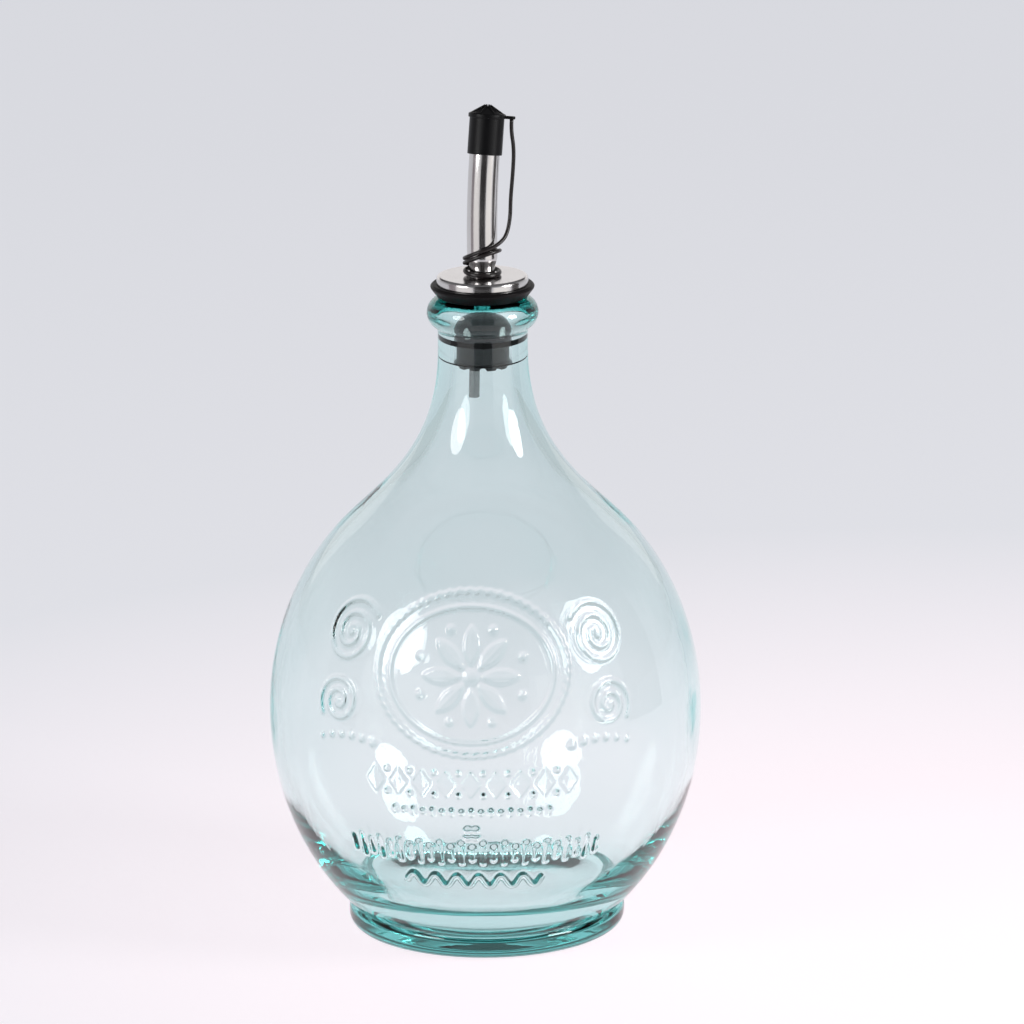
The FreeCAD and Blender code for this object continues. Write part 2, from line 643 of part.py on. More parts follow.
def cap_tether():
    """The soft strap, as straight runs and tangent arcs."""
    strap = strap_bar()
    path, radii = rounded_path(strap_points())
    share = strap.Volume / (path.Length * math.pi * STRAP_RADIUS**2)
    print("strap", round(path.Length, 1), "mm long, volume share", round(share, 4))
    print("strap arcs, mm:", " ".join(str(round(r, 1)) for r in radii))
    return strap


def tether_ring():
    """The strap's moulded ring, loose in the throat, with the knob that the strap grows from."""
    lean = math.degrees(math.asin(RING_LEAN / RING_RADIUS))
    ring = Part.makeTorus(RING_RADIUS, RING_THICKNESS / 2, UP * RING_LEVEL, UP)
    ring.rotate(UP * RING_LEVEL, around(1, RING_HIGH_SIDE - 90, 0), lean)
    end = strap_points()[-1]
    inward = (knob_root() - end).normalize()
    knob = Part.makeCylinder(KNOB_RADIUS, KNOB_LENGTH + KNOB_SLEEVE, end - inward * KNOB_SLEEVE, inward)
    return ring.fuse(knob).removeSplitter().cut(strap_bar())


for make in (
    glass_bottle,
    stopper,
    collar_disc,
    spout_tube,
    vent_tube,
    dust_cap,
    cap_tether,
    tether_ring,
):
    make().exportStep(f"parts/{make.__name__}.step")
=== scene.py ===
import math

import bmesh
import bpy
import numpy as np
from mathutils import Matrix, Vector, noise


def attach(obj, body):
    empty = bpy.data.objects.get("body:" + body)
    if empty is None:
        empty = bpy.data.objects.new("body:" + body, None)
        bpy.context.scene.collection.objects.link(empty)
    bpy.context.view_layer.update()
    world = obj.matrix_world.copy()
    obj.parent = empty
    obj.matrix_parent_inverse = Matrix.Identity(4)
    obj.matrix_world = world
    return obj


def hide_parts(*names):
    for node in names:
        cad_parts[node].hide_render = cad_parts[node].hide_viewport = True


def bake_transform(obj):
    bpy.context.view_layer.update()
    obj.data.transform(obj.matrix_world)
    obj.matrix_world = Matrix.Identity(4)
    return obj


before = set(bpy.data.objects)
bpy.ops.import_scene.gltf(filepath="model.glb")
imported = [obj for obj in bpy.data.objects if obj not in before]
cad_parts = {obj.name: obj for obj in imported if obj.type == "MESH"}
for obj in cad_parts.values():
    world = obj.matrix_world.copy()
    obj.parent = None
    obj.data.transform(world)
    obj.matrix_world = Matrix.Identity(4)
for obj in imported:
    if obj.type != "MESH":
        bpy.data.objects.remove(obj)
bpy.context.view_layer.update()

# ---- Glass bottle ---------------------------------------------------------------------------
# A heavy bottle of pale green-blue recycled glass, blown into a mould that presses a raised
# ornament into its front. The foot ring is fused on below, the rolled lip is fire-polished,
# and the glass only shows its green where a look passes through a lot of it.
MM = 0.001
FOOT_RADIUS = 46.2
FOOT_HEIGHT = 8.3
LOWER_ROUND = 4.0
UPPER_ROUND = 2.5
BEARING_INNER = 37.2
PUNT_HEIGHT = 2.0
BELLY_RADIUS = 72.1
BELLY_HALF_HEIGHT = 84.9
BELLY_LEVEL = 74.3
SHOULDER_ANGLE = math.radians(50.4)
SHOULDER_RISE = 57.3
SHOULDER_HANDLE = 17.3
NECK_HANDLE = 31.1
NECK_LEVEL = BELLY_LEVEL + BELLY_HALF_HEIGHT * math.sin(SHOULDER_ANGLE) + SHOULDER_RISE
NECK_LENGTH = 13.2
NECK_RADIUS = 14.9
BORE_RADIUS = 9.6
LIP_LEVEL = NECK_LEVEL + NECK_LENGTH
LIP_RADIUS = 18.5
LIP_ROUND = 5.35
UNDER_LIP_ROUND = 3.0
WALL = 3.6
CAVITY_FLOOR = 9.5
FLOOR_HANDLE = 34.0
HEEL_INSET = 19.0
HEEL_RISE = 12.0
HEEL_LEAN = math.radians(40)
HEEL_FLOOR_HANDLE = 8.0
HEEL_SIDE_HANDLE = 14.0
SIDE_HANDLE = 30.0


def arc(centre, radius, start, end, steps):
    """Points on a round of a section, between two angles in degrees up from straight out."""
    angles = [math.radians(start + (end - start) * i / steps) for i in range(steps + 1)]
    return [(centre[0] + radius * math.cos(a), centre[1] + radius * math.sin(a)) for a in angles]


def sweep_curve(a, b, c, d, steps):
    """Points on the smooth curve that leaves a towards b and reaches d from c."""
    points = []
    for i in range(steps + 1):
        t = i / steps
        k = ((1 - t) ** 3, 3 * t * (1 - t) ** 2, 3 * t * t * (1 - t), t**3)
        points.append(tuple(k[0] * a[j] + k[1] * b[j] + k[2] * c[j] + k[3] * d[j] for j in (0, 1)))
    return points


def belly(wall, start, end, steps):
    """The belly's ellipse, between two angles up from its widest place."""
    turns = [start + (end - start) * i / steps for i in range(steps + 1)]
    wide, high = BELLY_RADIUS - wall, BELLY_HALF_HEIGHT - wall
    return [(wide * math.cos(a), BELLY_LEVEL + high * math.sin(a)) for a in turns]


def shoulder(wall, neck, steps):
    """The curve from the belly's ellipse up to the straight neck."""
    wide, high = BELLY_RADIUS - wall, BELLY_HALF_HEIGHT - wall
    start = belly(wall, SHOULDER_ANGLE, SHOULDER_ANGLE, 1)[0]
    slope = Vector((-wide * math.sin(SHOULDER_ANGLE), high * math.cos(SHOULDER_ANGLE))).normalized()
    leave = (start[0] + SHOULDER_HANDLE * slope.x, start[1] + SHOULDER_HANDLE * slope.y)
    return sweep_curve(start, leave, (neck, NECK_LEVEL - NECK_HANDLE), (neck, NECK_LEVEL), steps)


def spaced(line, step):
    """The same line with its points at an even distance."""
    line = np.array(line, float)
    run = np.concatenate([[0], np.cumsum(np.hypot(*np.diff(line, axis=0).T))])
    at = np.linspace(0, run[-1], max(2, round(run[-1] / step)) + 1)
    return list(zip(np.interp(at, run, line[:, 0]), np.interp(at, run, line[:, 1])))


# The foot's upper round and the belly cross in a notch, which the fused glass rounds a little.
punt_radius = (BEARING_INNER**2 + PUNT_HEIGHT**2) / (2 * PUNT_HEIGHT)
punt_reach = math.degrees(math.asin(BEARING_INNER / punt_radius))
upper_centre = (FOOT_RADIUS - UPPER_ROUND, FOOT_HEIGHT - UPPER_ROUND)
crossing = 0.0
while True:
    notch = arc(upper_centre, UPPER_ROUND, crossing, crossing, 1)[0]
    rise = math.asin((notch[1] - BELLY_LEVEL) / BELLY_HALF_HEIGHT)
    if BELLY_RADIUS * math.cos(rise) >= notch[0]:
        break
    crossing += 0.5
above_notch = rise + 0.008
foot = arc((0, PUNT_HEIGHT - punt_radius), punt_radius, 90, 90 - punt_reach, 10)[1:]
foot += arc((FOOT_RADIUS - LOWER_ROUND, LOWER_ROUND), LOWER_ROUND, -90, 0, 14)
foot += arc(upper_centre, UPPER_ROUND, 0, crossing - 10, 8)
foot += sweep_curve(foot[-1], notch, notch, belly(0, above_notch, above_notch, 1)[0], 5)[1:-1]

# Rows of points run round the glass, closest together over the band that has the ornament.
ORNAMENT_LOW = 25.5
ORNAMENT_HIGH = 136
band_start = math.asin((ORNAMENT_LOW - BELLY_LEVEL) / BELLY_HALF_HEIGHT)
band_end = math.asin((ORNAMENT_HIGH - BELLY_LEVEL) / BELLY_HALF_HEIGHT)
foot += spaced(belly(0, above_notch, band_start, 60), 1.6)[:-1]
front_rows = np.array(spaced(belly(0, band_start, band_end, 600), 0.6))
lip_centre = (LIP_RADIUS - LIP_ROUND, LIP_LEVEL)
reach = NECK_RADIUS + UNDER_LIP_ROUND - lip_centre[0]
drop = math.sqrt((LIP_ROUND + UNDER_LIP_ROUND) ** 2 - reach**2)
meeting = math.degrees(math.atan2(drop, -reach))
mouth_angle = 180 - math.degrees(math.acos((lip_centre[0] - BORE_RADIUS) / LIP_ROUND))
upper = spaced(belly(0, band_end, SHOULDER_ANGLE, 40), 2.0)[1:]
upper += spaced(shoulder(0, NECK_RADIUS, 90), 1.6)[1:]
upper += [(NECK_RADIUS, NECK_LEVEL + 4), (NECK_RADIUS, LIP_LEVEL - drop - 2)]
upper += arc((NECK_RADIUS + UNDER_LIP_ROUND, LIP_LEVEL - drop), UNDER_LIP_ROUND, 180, meeting, 8)
upper += arc(lip_centre, LIP_ROUND, meeting - 180, mouth_angle, 44)[1:]
inside = [(BORE_RADIUS, LIP_LEVEL - 4), (BORE_RADIUS, NECK_LEVEL + 4)]
inside += spaced(shoulder(WALL, BORE_RADIUS, 90), 2.4)[::-1]
inside += spaced(belly(WALL, 0, SHOULDER_ANGLE, 60), 3.2)[::-1][1:]

# The cavity's side bends in to a slanted heel, and its floor dips from there to the middle.
inner = BELLY_RADIUS - WALL
heel = Vector((inner - HEEL_INSET, CAVITY_FLOOR + HEEL_RISE))
up_the_side = Vector((math.sin(HEEL_LEAN), math.cos(HEEL_LEAN)))
below_belly = (inner, BELLY_LEVEL - SIDE_HANDLE)
above_heel = heel + up_the_side * HEEL_SIDE_HANDLE
side = sweep_curve((inner, BELLY_LEVEL), below_belly, above_heel, heel, 80)
below_heel = heel - up_the_side * HEEL_FLOOR_HANDLE
dip = sweep_curve(heel, below_heel, (FLOOR_HANDLE, CAVITY_FLOOR), (0, CAVITY_FLOOR), 80)
inside += spaced(side + dip[1:], 2.0)[1:-1]

# The ornament lies on the front, each motif drawn upright where it faces straight out.
RELIEF = 0.8
ORNAMENT_TURN = -4.0
FRONT = math.radians(58)
FINE_STEP = math.radians(0.42)
BACK_COLUMNS = 52
COLUMNS = 120
fine = np.arange(-FRONT, FRONT + 1e-6, FINE_STEP)
coarse = np.linspace(FRONT, 2 * math.pi - FRONT, BACK_COLUMNS + 2)[1:-1]
fine_turns = np.concatenate([fine, coarse])
even_turns = np.linspace(-FRONT, 2 * math.pi - FRONT, COLUMNS + 1)[:-1]
level = np.repeat(front_rows[:, 1:], len(fine), axis=1)
raised = np.zeros_like(level)


def face_towards(turn):
    """Draw the next motifs this many degrees round the glass from the ornament's middle."""
    global across
    across = front_rows[:, :1] * np.sin(fine[None, :] - math.radians(ORNAMENT_TURN + turn))


def raise_ridge(distance, half_width, height=RELIEF):
    """A rounded ridge or dome, from the distance to its middle line or spot."""
    global raised
    shape = np.clip(1 - (distance / half_width) ** 2, 0, 1) ** 0.75
    raised = np.maximum(raised, height * shape)


def raise_land(inside, height=RELIEF, slope=0.45):
    """Flat raised glass with eased sides, from the distance inside its outline."""
    global raised
    t = np.clip(inside / slope + 0.5, 0, 1)
    raised = np.maximum(raised, height * t * t * (3 - 2 * t))


def from_line(points):
    """Distance from a line of straight runs."""
    best = np.full(across.shape, 99.0)
    for a, b in zip(points, points[1:]):
        run = (b[0] - a[0], b[1] - a[1])
        long = run[0] ** 2 + run[1] ** 2 + 1e-9
        t = np.clip(((across - a[0]) * run[0] + (level - a[1]) * run[1]) / long, 0, 1)
        best = np.minimum(best, np.hypot(across - a[0] - t * run[0], level - a[1] - t * run[1]))
    return best


def from_spot(x, z, long=1.0, turn=0.0):
    """Distance from a spot that is drawn out to an oval along a direction."""
    c, s = math.cos(turn), math.sin(turn)
    along = ((across - x) * c + (level - z) * s) / long
    return np.hypot(along, -(across - x) * s + (level - z) * c)


def oval_line(inset):
    """The medallion's rim, or an oval this far inside it."""
    wide, high = MEDAL_HALF_WIDTH - inset, MEDAL_HALF_HEIGHT - inset
    turns = (math.radians(5 * i) for i in range(73))
    return [(wide * math.cos(a), MEDAL_LEVEL + high * math.sin(a)) for a in turns]


# The medallion: a roped rim, a fine oval line, and a flower of eight ribbed petals with beads.
MEDAL_LEVEL = BELLY_LEVEL + 29.7
MEDAL_HALF_WIDTH = 31.0
MEDAL_HALF_HEIGHT = 25.5
MEDAL_RIM = 1.6
ROPE_STRANDS = 58
ROPE_SLANT = 0.6
OVAL_INSET = 4.3
PETALS = 8
PETAL_ROOT = 3.6
PETAL_LENGTH = 12.4
PETAL_WIDTH = 5.0
PETAL_RIB_START = 4.0
PETAL_RIB_STOP = 2.5
BEADS_ACROSS = 18.2
BEADS_UP = 15.6
BOSS_RADIUS = 2.9
face_towards(0)
raise_land(MEDAL_RIM / 2 - from_line(oval_line(0)), 0.55)
for i in range(ROPE_STRANDS):
    a = 2 * math.pi * i / ROPE_STRANDS
    x, z = MEDAL_HALF_WIDTH * math.cos(a), MEDAL_LEVEL + MEDAL_HALF_HEIGHT * math.sin(a)
    along = math.atan2(MEDAL_HALF_HEIGHT * math.cos(a), -MEDAL_HALF_WIDTH * math.sin(a))
    raise_ridge(from_spot(x, z, 2.0, along + ROPE_SLANT), 0.95)
raise_ridge(from_line(oval_line(OVAL_INSET)), 0.85, 0.7)
petal_arc = PETAL_WIDTH / 4 + PETAL_LENGTH**2 / (4 * PETAL_WIDTH)
for i in range(PETALS):
    a = 2 * math.pi * i / PETALS
    c, s = math.cos(a), math.sin(a)
    along = across * c + (level - MEDAL_LEVEL) * s - PETAL_ROOT - PETAL_LENGTH / 2
    aside = -across * s + (level - MEDAL_LEVEL) * c
    raise_land(petal_arc - np.hypot(along, np.abs(aside) + petal_arc - PETAL_WIDTH / 2), 0.62)
    ends = (PETAL_RIB_START, PETAL_ROOT + PETAL_LENGTH - PETAL_RIB_STOP)
    raise_ridge(from_line([(reach * c, MEDAL_LEVEL + reach * s) for reach in ends]), 0.7)
    b = a + math.pi / PETALS
    raise_ridge(from_spot(BEADS_ACROSS * math.cos(b), MEDAL_LEVEL + BEADS_UP * math.sin(b)), 1.5)
raise_ridge(from_spot(0, MEDAL_LEVEL), BOSS_RADIUS)

# Scrolls stand on both sides of it, and a tail of beads runs out below them.
SCROLL_TURN = 39
SCROLLS = ((39.7, 10.5, 2.3, 1), (17.7, 8.5, 2.0, -1))  # rise, radius, turns, way round
SCROLL_EYE = 1.6
TAIL_BEADS = 6
TAIL_TURN = 27
TAIL_STEP = 3.4
TAIL_LEVEL = 80.5
for side in (-1, 1):
    face_towards(side * SCROLL_TURN)
    for rise, size, turns, way in SCROLLS:
        middle = BELLY_LEVEL + rise
        scroll = []
        for i in range(73):
            angle = way * math.pi * (0.2 + 2 * turns * i / 72)
            reach = size * (0.12 + 0.88 * i / 72)
            scroll.append((side * reach * math.cos(angle), middle + reach * math.sin(angle)))
        raise_ridge(from_line(scroll), 0.95)
        raise_ridge(from_spot(0, middle), SCROLL_EYE)
    for i in range(TAIL_BEADS):
        face_towards(side * (TAIL_TURN + TAIL_STEP * i))
        raise_ridge(from_spot(0, TAIL_LEVEL - 0.25 * i * i + 1.0 * i), 1.7 - 0.13 * i)

# Rows below the medallion, each motif a step of degrees from the next: lozenges cut like nail
# heads with beads between them, a row of beads, a small cross, upright bars and a wave.
LOZENGE_LEVEL = BELLY_LEVEL - 5.7
LOZENGE_STEP = 6.5
LOZENGE_HALF_WIDTH = 3.4
LOZENGE_HALF_HEIGHT = 4.8
LOZENGE_SLOPE = 2.6
BETWEEN_LOZENGES = 3.9
BEAD_ROW_LEVEL = BELLY_LEVEL - 15.6
BEAD_STEP = 2.6
CROSS_LEVEL = BELLY_LEVEL - 23.2
CROSS_REACH = 1.8
BAR_LEVEL = 43.6
BAR_STEP = 3.0
WAVE_LEVEL = 33.2
WAVE_HEIGHT = 2.1
HALF_WAVE = 3.6
for i in range(-4, 5):
    face_towards(LOZENGE_STEP * i)
    edge = 1 - np.abs(across) / LOZENGE_HALF_WIDTH
    edge = edge - np.abs(level - LOZENGE_LEVEL) / LOZENGE_HALF_HEIGHT
    raise_land(edge * 2.8, 0.6, 0.5)
    raise_ridge(LOZENGE_SLOPE * (1 - np.clip(edge, 0, 1)), LOZENGE_SLOPE)
    if i < 4:
        face_towards(LOZENGE_STEP * (i + 0.5))
        for up in (BETWEEN_LOZENGES, -BETWEEN_LOZENGES):
            raise_ridge(from_spot(0, LOZENGE_LEVEL + up), 1.2)
for i in range(-8, 9):
    face_towards(BEAD_STEP * i)
    raise_ridge(from_spot(0, BEAD_ROW_LEVEL, 1.0 if i % 2 else 1.5, math.pi / 2), 1.25)
face_towards(0)
for i in range(4):
    a = math.pi / 2 * i + math.pi / 4
    spot = (CROSS_REACH * math.cos(a), CROSS_LEVEL + CROSS_REACH * math.sin(a))
    raise_ridge(from_spot(*spot), 1.45)
for i in range(-12, 13):
    face_towards(BAR_STEP * i)
    tall = 3.6 if i % 2 else 2.2
    raise_ridge(from_line([(0, BAR_LEVEL - tall), (0, BAR_LEVEL + tall)]), 0.95)
face_towards(0)
wave = [x * 0.5 for x in range(-44, 45)]
wave = [(x, WAVE_LEVEL + WAVE_HEIGHT * math.sin(x * math.pi / HALF_WAVE)) for x in wave]
raise_ridge(from_line(wave), 1.0)

glass_points = []
glass_faces = []


def add_ring(radius, height, turns, push=(), normal=(1, 0), wave_depth=0.0):
    """A ring of glass points, each pushed outwards along the section's normal."""
    ring = []
    for j, turn in enumerate(turns):
        out = float(push[j]) if j < len(push) else 0.0
        if wave_depth:
            spot = Vector((math.sin(turn) * 2.7, -math.cos(turn) * 2.7, height / 20))
            out += wave_depth * noise.noise(spot)
        r, z = radius + out * normal[0], height + out * normal[1]
        glass_points.append((r * math.sin(turn) * MM, -r * math.cos(turn) * MM, z * MM))
        ring.append((float(turn), len(glass_points) - 1))
    return ring


def join_rings(low, high):
    """Faces between two rings, also where one has more points than the other."""
    if len(low) == len(high):
        for k in range(len(low)):
            m = (k + 1) % len(low)
            glass_faces.append((low[k][1], low[m][1], high[m][1], high[k][1]))
        return
    i = j = 0
    low_run = low + [(low[0][0] + 2 * math.pi, low[0][1])]
    high_run = high + [(high[0][0] + 2 * math.pi, high[0][1])]
    while i < len(low) or j < len(high):
        low_next = low_run[i + 1][0] if i < len(low) else 99
        high_next = high_run[j + 1][0] if j < len(high) else 99
        if low_next <= high_next:
            glass_faces.append((low_run[i][1], low_run[i + 1][1], high_run[j][1]))
            i += 1
        else:
            glass_faces.append((low_run[i][1], high_run[j + 1][1], high_run[j][1]))
            j += 1


def close_pole(ring, height, up):
    """Faces from a ring to one point on the axis."""
    glass_points.append((0, 0, height * MM))
    middle = len(glass_points) - 1
    for k in range(len(ring)):
        a, b = ring[k][1], ring[(k + 1) % len(ring)][1]
        glass_faces.append((a, b, middle) if up else (b, a, middle))


# The inside is a little uneven, as blown glass is, but calm in the neck and near the middle.
INSIDE_WAVES = 0.3
last = add_ring(*foot[0], even_turns)
close_pole(last, PUNT_HEIGHT, False)
for r, z in foot[1:]:
    ring = add_ring(r, z, even_turns)
    join_rings(last, ring)
    last = ring
for k, (r, z) in enumerate(front_rows):
    normal = Vector((r / BELLY_RADIUS**2, (z - BELLY_LEVEL) / BELLY_HALF_HEIGHT**2)).normalized()
    ring = add_ring(r, z, fine_turns, raised[k], normal)
    join_rings(last, ring)
    last = ring
for r, z in upper:
    ring = add_ring(r, z, even_turns)
    join_rings(last, ring)
    last = ring
for r, z in inside:
    calm = min(1.0, max(0.0, (NECK_LEVEL - 6 - z) / 40)) * min(1.0, r / 40)
    ring = add_ring(r, z, even_turns, wave_depth=INSIDE_WAVES * calm)
    join_rings(last, ring)
    last = ring
close_pole(last, CAVITY_FLOOR, True)


def new_piece(name, points, faces, material):
    """A smooth-shaded piece with its place in its mesh."""
    mesh = bpy.data.meshes.new(name)
    mesh.from_pydata(points, [], faces)
    mesh.polygons.foreach_set("use_smooth", [True] * len(mesh.polygons))
    mesh.materials.append(material)
    piece = bpy.data.objects.new(name, mesh)
    bpy.context.scene.collection.objects.link(piece)
    return piece


def node_maker(tree):
    """A function that adds one node, with its settings and what goes into its sockets."""

    def add(kind, links=(), **settings):
        node = tree.nodes.new(kind)
        for key, value in settings.items():
            setattr(node, key, value)
        for slot, value in links:
            if isinstance(value, bpy.types.NodeSocket):
                tree.links.new(value, node.inputs[slot])
            else:
                node.inputs[slot].default_value = value
        return node

    return add


def new_material(name):
    """A material with its Principled shader, and a maker of further nodes for it."""
    material = bpy.data.materials.new(name)
    material.use_nodes = True
    shader = material.node_tree.nodes["Principled BSDF"]
    return material, shader, node_maker(material.node_tree)


def feed(node, slot, socket):
    """Drive one socket of a node from another node."""
    node.id_data.links.new(socket, node.inputs[slot])


def mottle(add, scale, detail):
    """Irregular mottling that is fixed to the piece."""
    place = add("ShaderNodeTexCoord")
    settings = [("Vector", place.outputs["Object"]), ("Scale", scale), ("Detail", detail)]
    return add("ShaderNodeTexNoise", settings).outputs["Fac"]


def roughen(shader, add, height, strength, depth):
    """Give the surface a fine relief."""
    settings = [("Height", height), ("Strength", strength), ("Distance", depth)]
    feed(shader, "Normal", add("ShaderNodeBump", settings).outputs["Normal"])


def vary_gloss(shader, add, pattern, smooth, rough, full=1.0):
    """Let a pattern move the roughness between two values, the second where it is full."""
    settings = [("Value", pattern), ("From Max", full), ("To Min", smooth), ("To Max", rough)]
    feed(shader, "Roughness", add("ShaderNodeMapRange", settings).outputs["Result"])


glass, shader, add = new_material("pale_green_glass")
shader.inputs["Base Color"].default_value = (1, 1, 1, 1)
shader.inputs["Roughness"].default_value = 0.0
shader.inputs["IOR"].default_value = 1.52
shader.inputs["Transmission Weight"].default_value = 1.0
roughen(shader, add, mottle(add, 95.0, 2.0), 0.05, 0.001)
tint = add("ShaderNodeVolumeAbsorption", [("Color", (0.0, 0.72, 0.70, 1)), ("Density", 23.0)])
feed(glass.node_tree.nodes["Material Output"], "Volume", tint.outputs["Volume"])
bottle = new_piece("bottle_glass", glass_points, glass_faces, glass)
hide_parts("glass_bottle")
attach(bottle, "bottle")

# ---- Rubber stopper -------------------------------------------------------------------------
# One moulding of black rubber with a slightly brown cast: a tapered flange on the lip, a plug
# with a thick and a thin fin pressed against the bore, and a scalloped end. A mould seam runs
# down its front and back. It is pushed into the bottle's mouth by hand.
FLANGE_LEVEL = 215.62
FLANGE_EDGE_LOW = 218.75
FLANGE_EDGE_HIGH = 219.3
FLANGE_TOP = 219.92
FLANGE_RADIUS = 17.2
HEAD_TOP = 222.0
HEAD_RADIUS = 14.48
HEAD_SLANT = 1.3
PLUG_END = 192.22
PLUG_HOLE = 5.05
PLUG_NOSE = 8.1
PLUG_WAIST = 8.7
PLUG_RADIUS = 9.2
THIN_FIN_LOW = 193.82
THIN_FIN_HIGH = 194.42
THIN_FIN_RADIUS = 9.69
THICK_FIN_LOW = 200.12
THICK_FIN_HIGH = 202.42
THICK_FIN_RADIUS = 9.62
SCALLOPS = 10
SCALLOP_RADIUS = 1.1
SEAM_HEIGHT = 0.13
SEAM_WIDTH = 0.28
SEAM_TOP = 220.2


def rounded(corners, steps=4):
    """A turned section, each corner (radius, level, rounding) eased, and long runs held flat."""
    line = []
    for i, (r, z, ease) in enumerate(corners):
        here = Vector((r, z))
        if not ease:
            line.append(here)
            continue
        back = Vector(corners[i - 1][:2]) - here
        on = Vector(corners[(i + 1) % len(corners)][:2]) - here
        a, b = here + back.normalized() * ease, here + on.normalized() * ease
        for k in range(steps + 1):
            t = k / steps
            line.append(a * (1 - t) ** 2 + here * 2 * t * (1 - t) + b * t * t)
    held = []
    for i, point in enumerate(line):
        held.append(point)
        run = line[(i + 1) % len(line)] - point
        if run.length > 1.2 and (i + 1 < len(line) or line[0].x > 0):
            held += [point + run.normalized() * 0.15, point + run - run.normalized() * 0.15]
    return [tuple(p) for p in held]


def turned(name, section, columns, material, shape=None):
    """A piece turned about the bottle's axis. A section that starts and ends on the axis is
    closed there, and any other is closed on itself. shape moves each point, in millimetres."""
    on_axis = section[0][0] == 0
    rings = section[1:-1] if on_axis else section
    points, faces, spread = [], [], []
    run = 0.0
    for r, z in rings:
        for j in range(columns):
            a = 2 * math.pi * j / columns
            p = (r * math.sin(a), -r * math.cos(a), z)
            points.append(Vector(shape(p) if shape else p) * MM)
    rows = len(rings) - 1 if on_axis else len(rings)
    for i in range(rows):
        k = (i + 1) % len(rings)
        step = math.dist(rings[i], rings[k]) / 100
        for j in range(columns):
            m = (j + 1) % columns
            faces.append((i * columns + j, i * columns + m, k * columns + m, k * columns + j))
            low, high = (j / columns, run), ((j + 1) / columns, run + step)
            spread += [low, (high[0], low[1]), high, (low[0], high[1])]
        run += step
    if on_axis:
        for row, pole, up in ((0, section[0], False), (len(rings) - 1, section[-1], True)):
            p = (0, 0, pole[1])
            points.append(Vector(shape(p) if shape else p) * MM)
            for j in range(columns):
                a, b = row * columns + j, row * columns + (j + 1) % columns
                faces.append((a, b, len(points) - 1) if up else (b, a, len(points) - 1))
                spread += [((j + part) / columns, run) for part in (0, 1, 0.5)]
    piece = new_piece(name, points, faces, material)
    layer = piece.data.uv_layers.new(name="wrap")
    layer.data.foreach_set("uv", [x for pair in spread for x in pair])
    return piece


def mould_stopper(point):
    """Raise the mould seam, and cut the scallops into the plug's end."""
    x, y, z = point
    r = math.hypot(x, y)
    outside = r > 6 and z < SEAM_TOP
    seam = SEAM_HEIGHT * math.exp(-((x / SEAM_WIDTH) ** 2)) if outside else 0.0
    if z < PLUG_END + 1.5 and r > 1:
        turn = math.atan2(y, x) % (2 * math.pi / SCALLOPS) - math.pi / SCALLOPS
        aside = r * math.sin(turn)
        if abs(aside) < SCALLOP_RADIUS:
            z = max(z, PLUG_END + math.sqrt(SCALLOP_RADIUS**2 - aside**2))
    grow = (r + seam) / r
    return (x * grow, y * grow, z)


rubber, shader, add = new_material("black_rubber")
shader.inputs["Base Color"].default_value = (0.0045, 0.0035, 0.004, 1)
shader.inputs["Specular IOR Level"].default_value = 0.14
vary_gloss(shader, add, mottle(add, 160.0, 4.0), 0.34, 0.52)
roughen(shader, add, mottle(add, 2600.0, 2.0), 0.12, 0.0002)

stopper_section = rounded(
    [
        (PLUG_HOLE, PLUG_END, 0.1), (PLUG_NOSE, PLUG_END, 0.3),
        (PLUG_NOSE, THIN_FIN_LOW, 0.15), (THIN_FIN_RADIUS, THIN_FIN_LOW, 0.12),
        (THIN_FIN_RADIUS - 0.01, THIN_FIN_HIGH, 0.12), (PLUG_WAIST, THIN_FIN_HIGH, 0.2),
        (PLUG_WAIST, THICK_FIN_LOW, 0.3), (THICK_FIN_RADIUS, THICK_FIN_LOW, 0.35),
        (THICK_FIN_RADIUS, THICK_FIN_HIGH, 0.35), (PLUG_RADIUS, THICK_FIN_HIGH, 0.15),
        (PLUG_RADIUS, FLANGE_LEVEL, 0.2), (14.9, FLANGE_LEVEL, 0.5),
        (FLANGE_RADIUS, FLANGE_EDGE_LOW, 0.45), (FLANGE_RADIUS, FLANGE_EDGE_HIGH, 0.3),
        (16.5, FLANGE_TOP, 0.3), (HEAD_RADIUS, FLANGE_TOP, 0.1),
        (HEAD_RADIUS, HEAD_TOP - HEAD_SLANT, 0.2), (HEAD_RADIUS - HEAD_SLANT, HEAD_TOP, 0.2),
        (PLUG_HOLE, HEAD_TOP, 0.1),
    ]
)
stopper = turned("stopper_rubber", stopper_section, 240, rubber, mould_stopper)
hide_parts("stopper")
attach(stopper, "stopper")

# ---- Steel disc -----------------------------------------------------------------------------
# A shallow cup pressed from polished stainless sheet, spun to a high gloss on a lathe, brazed
# to the spout and closed over the stopper's head.
DISC_TOP = 222.72
DISC_UNDERSIDE = 222.12
DISC_RADIUS = 15.2
SKIRT_BORE = 14.6
SKIRT_END = 219.97
THROAT_RADIUS = 4.25


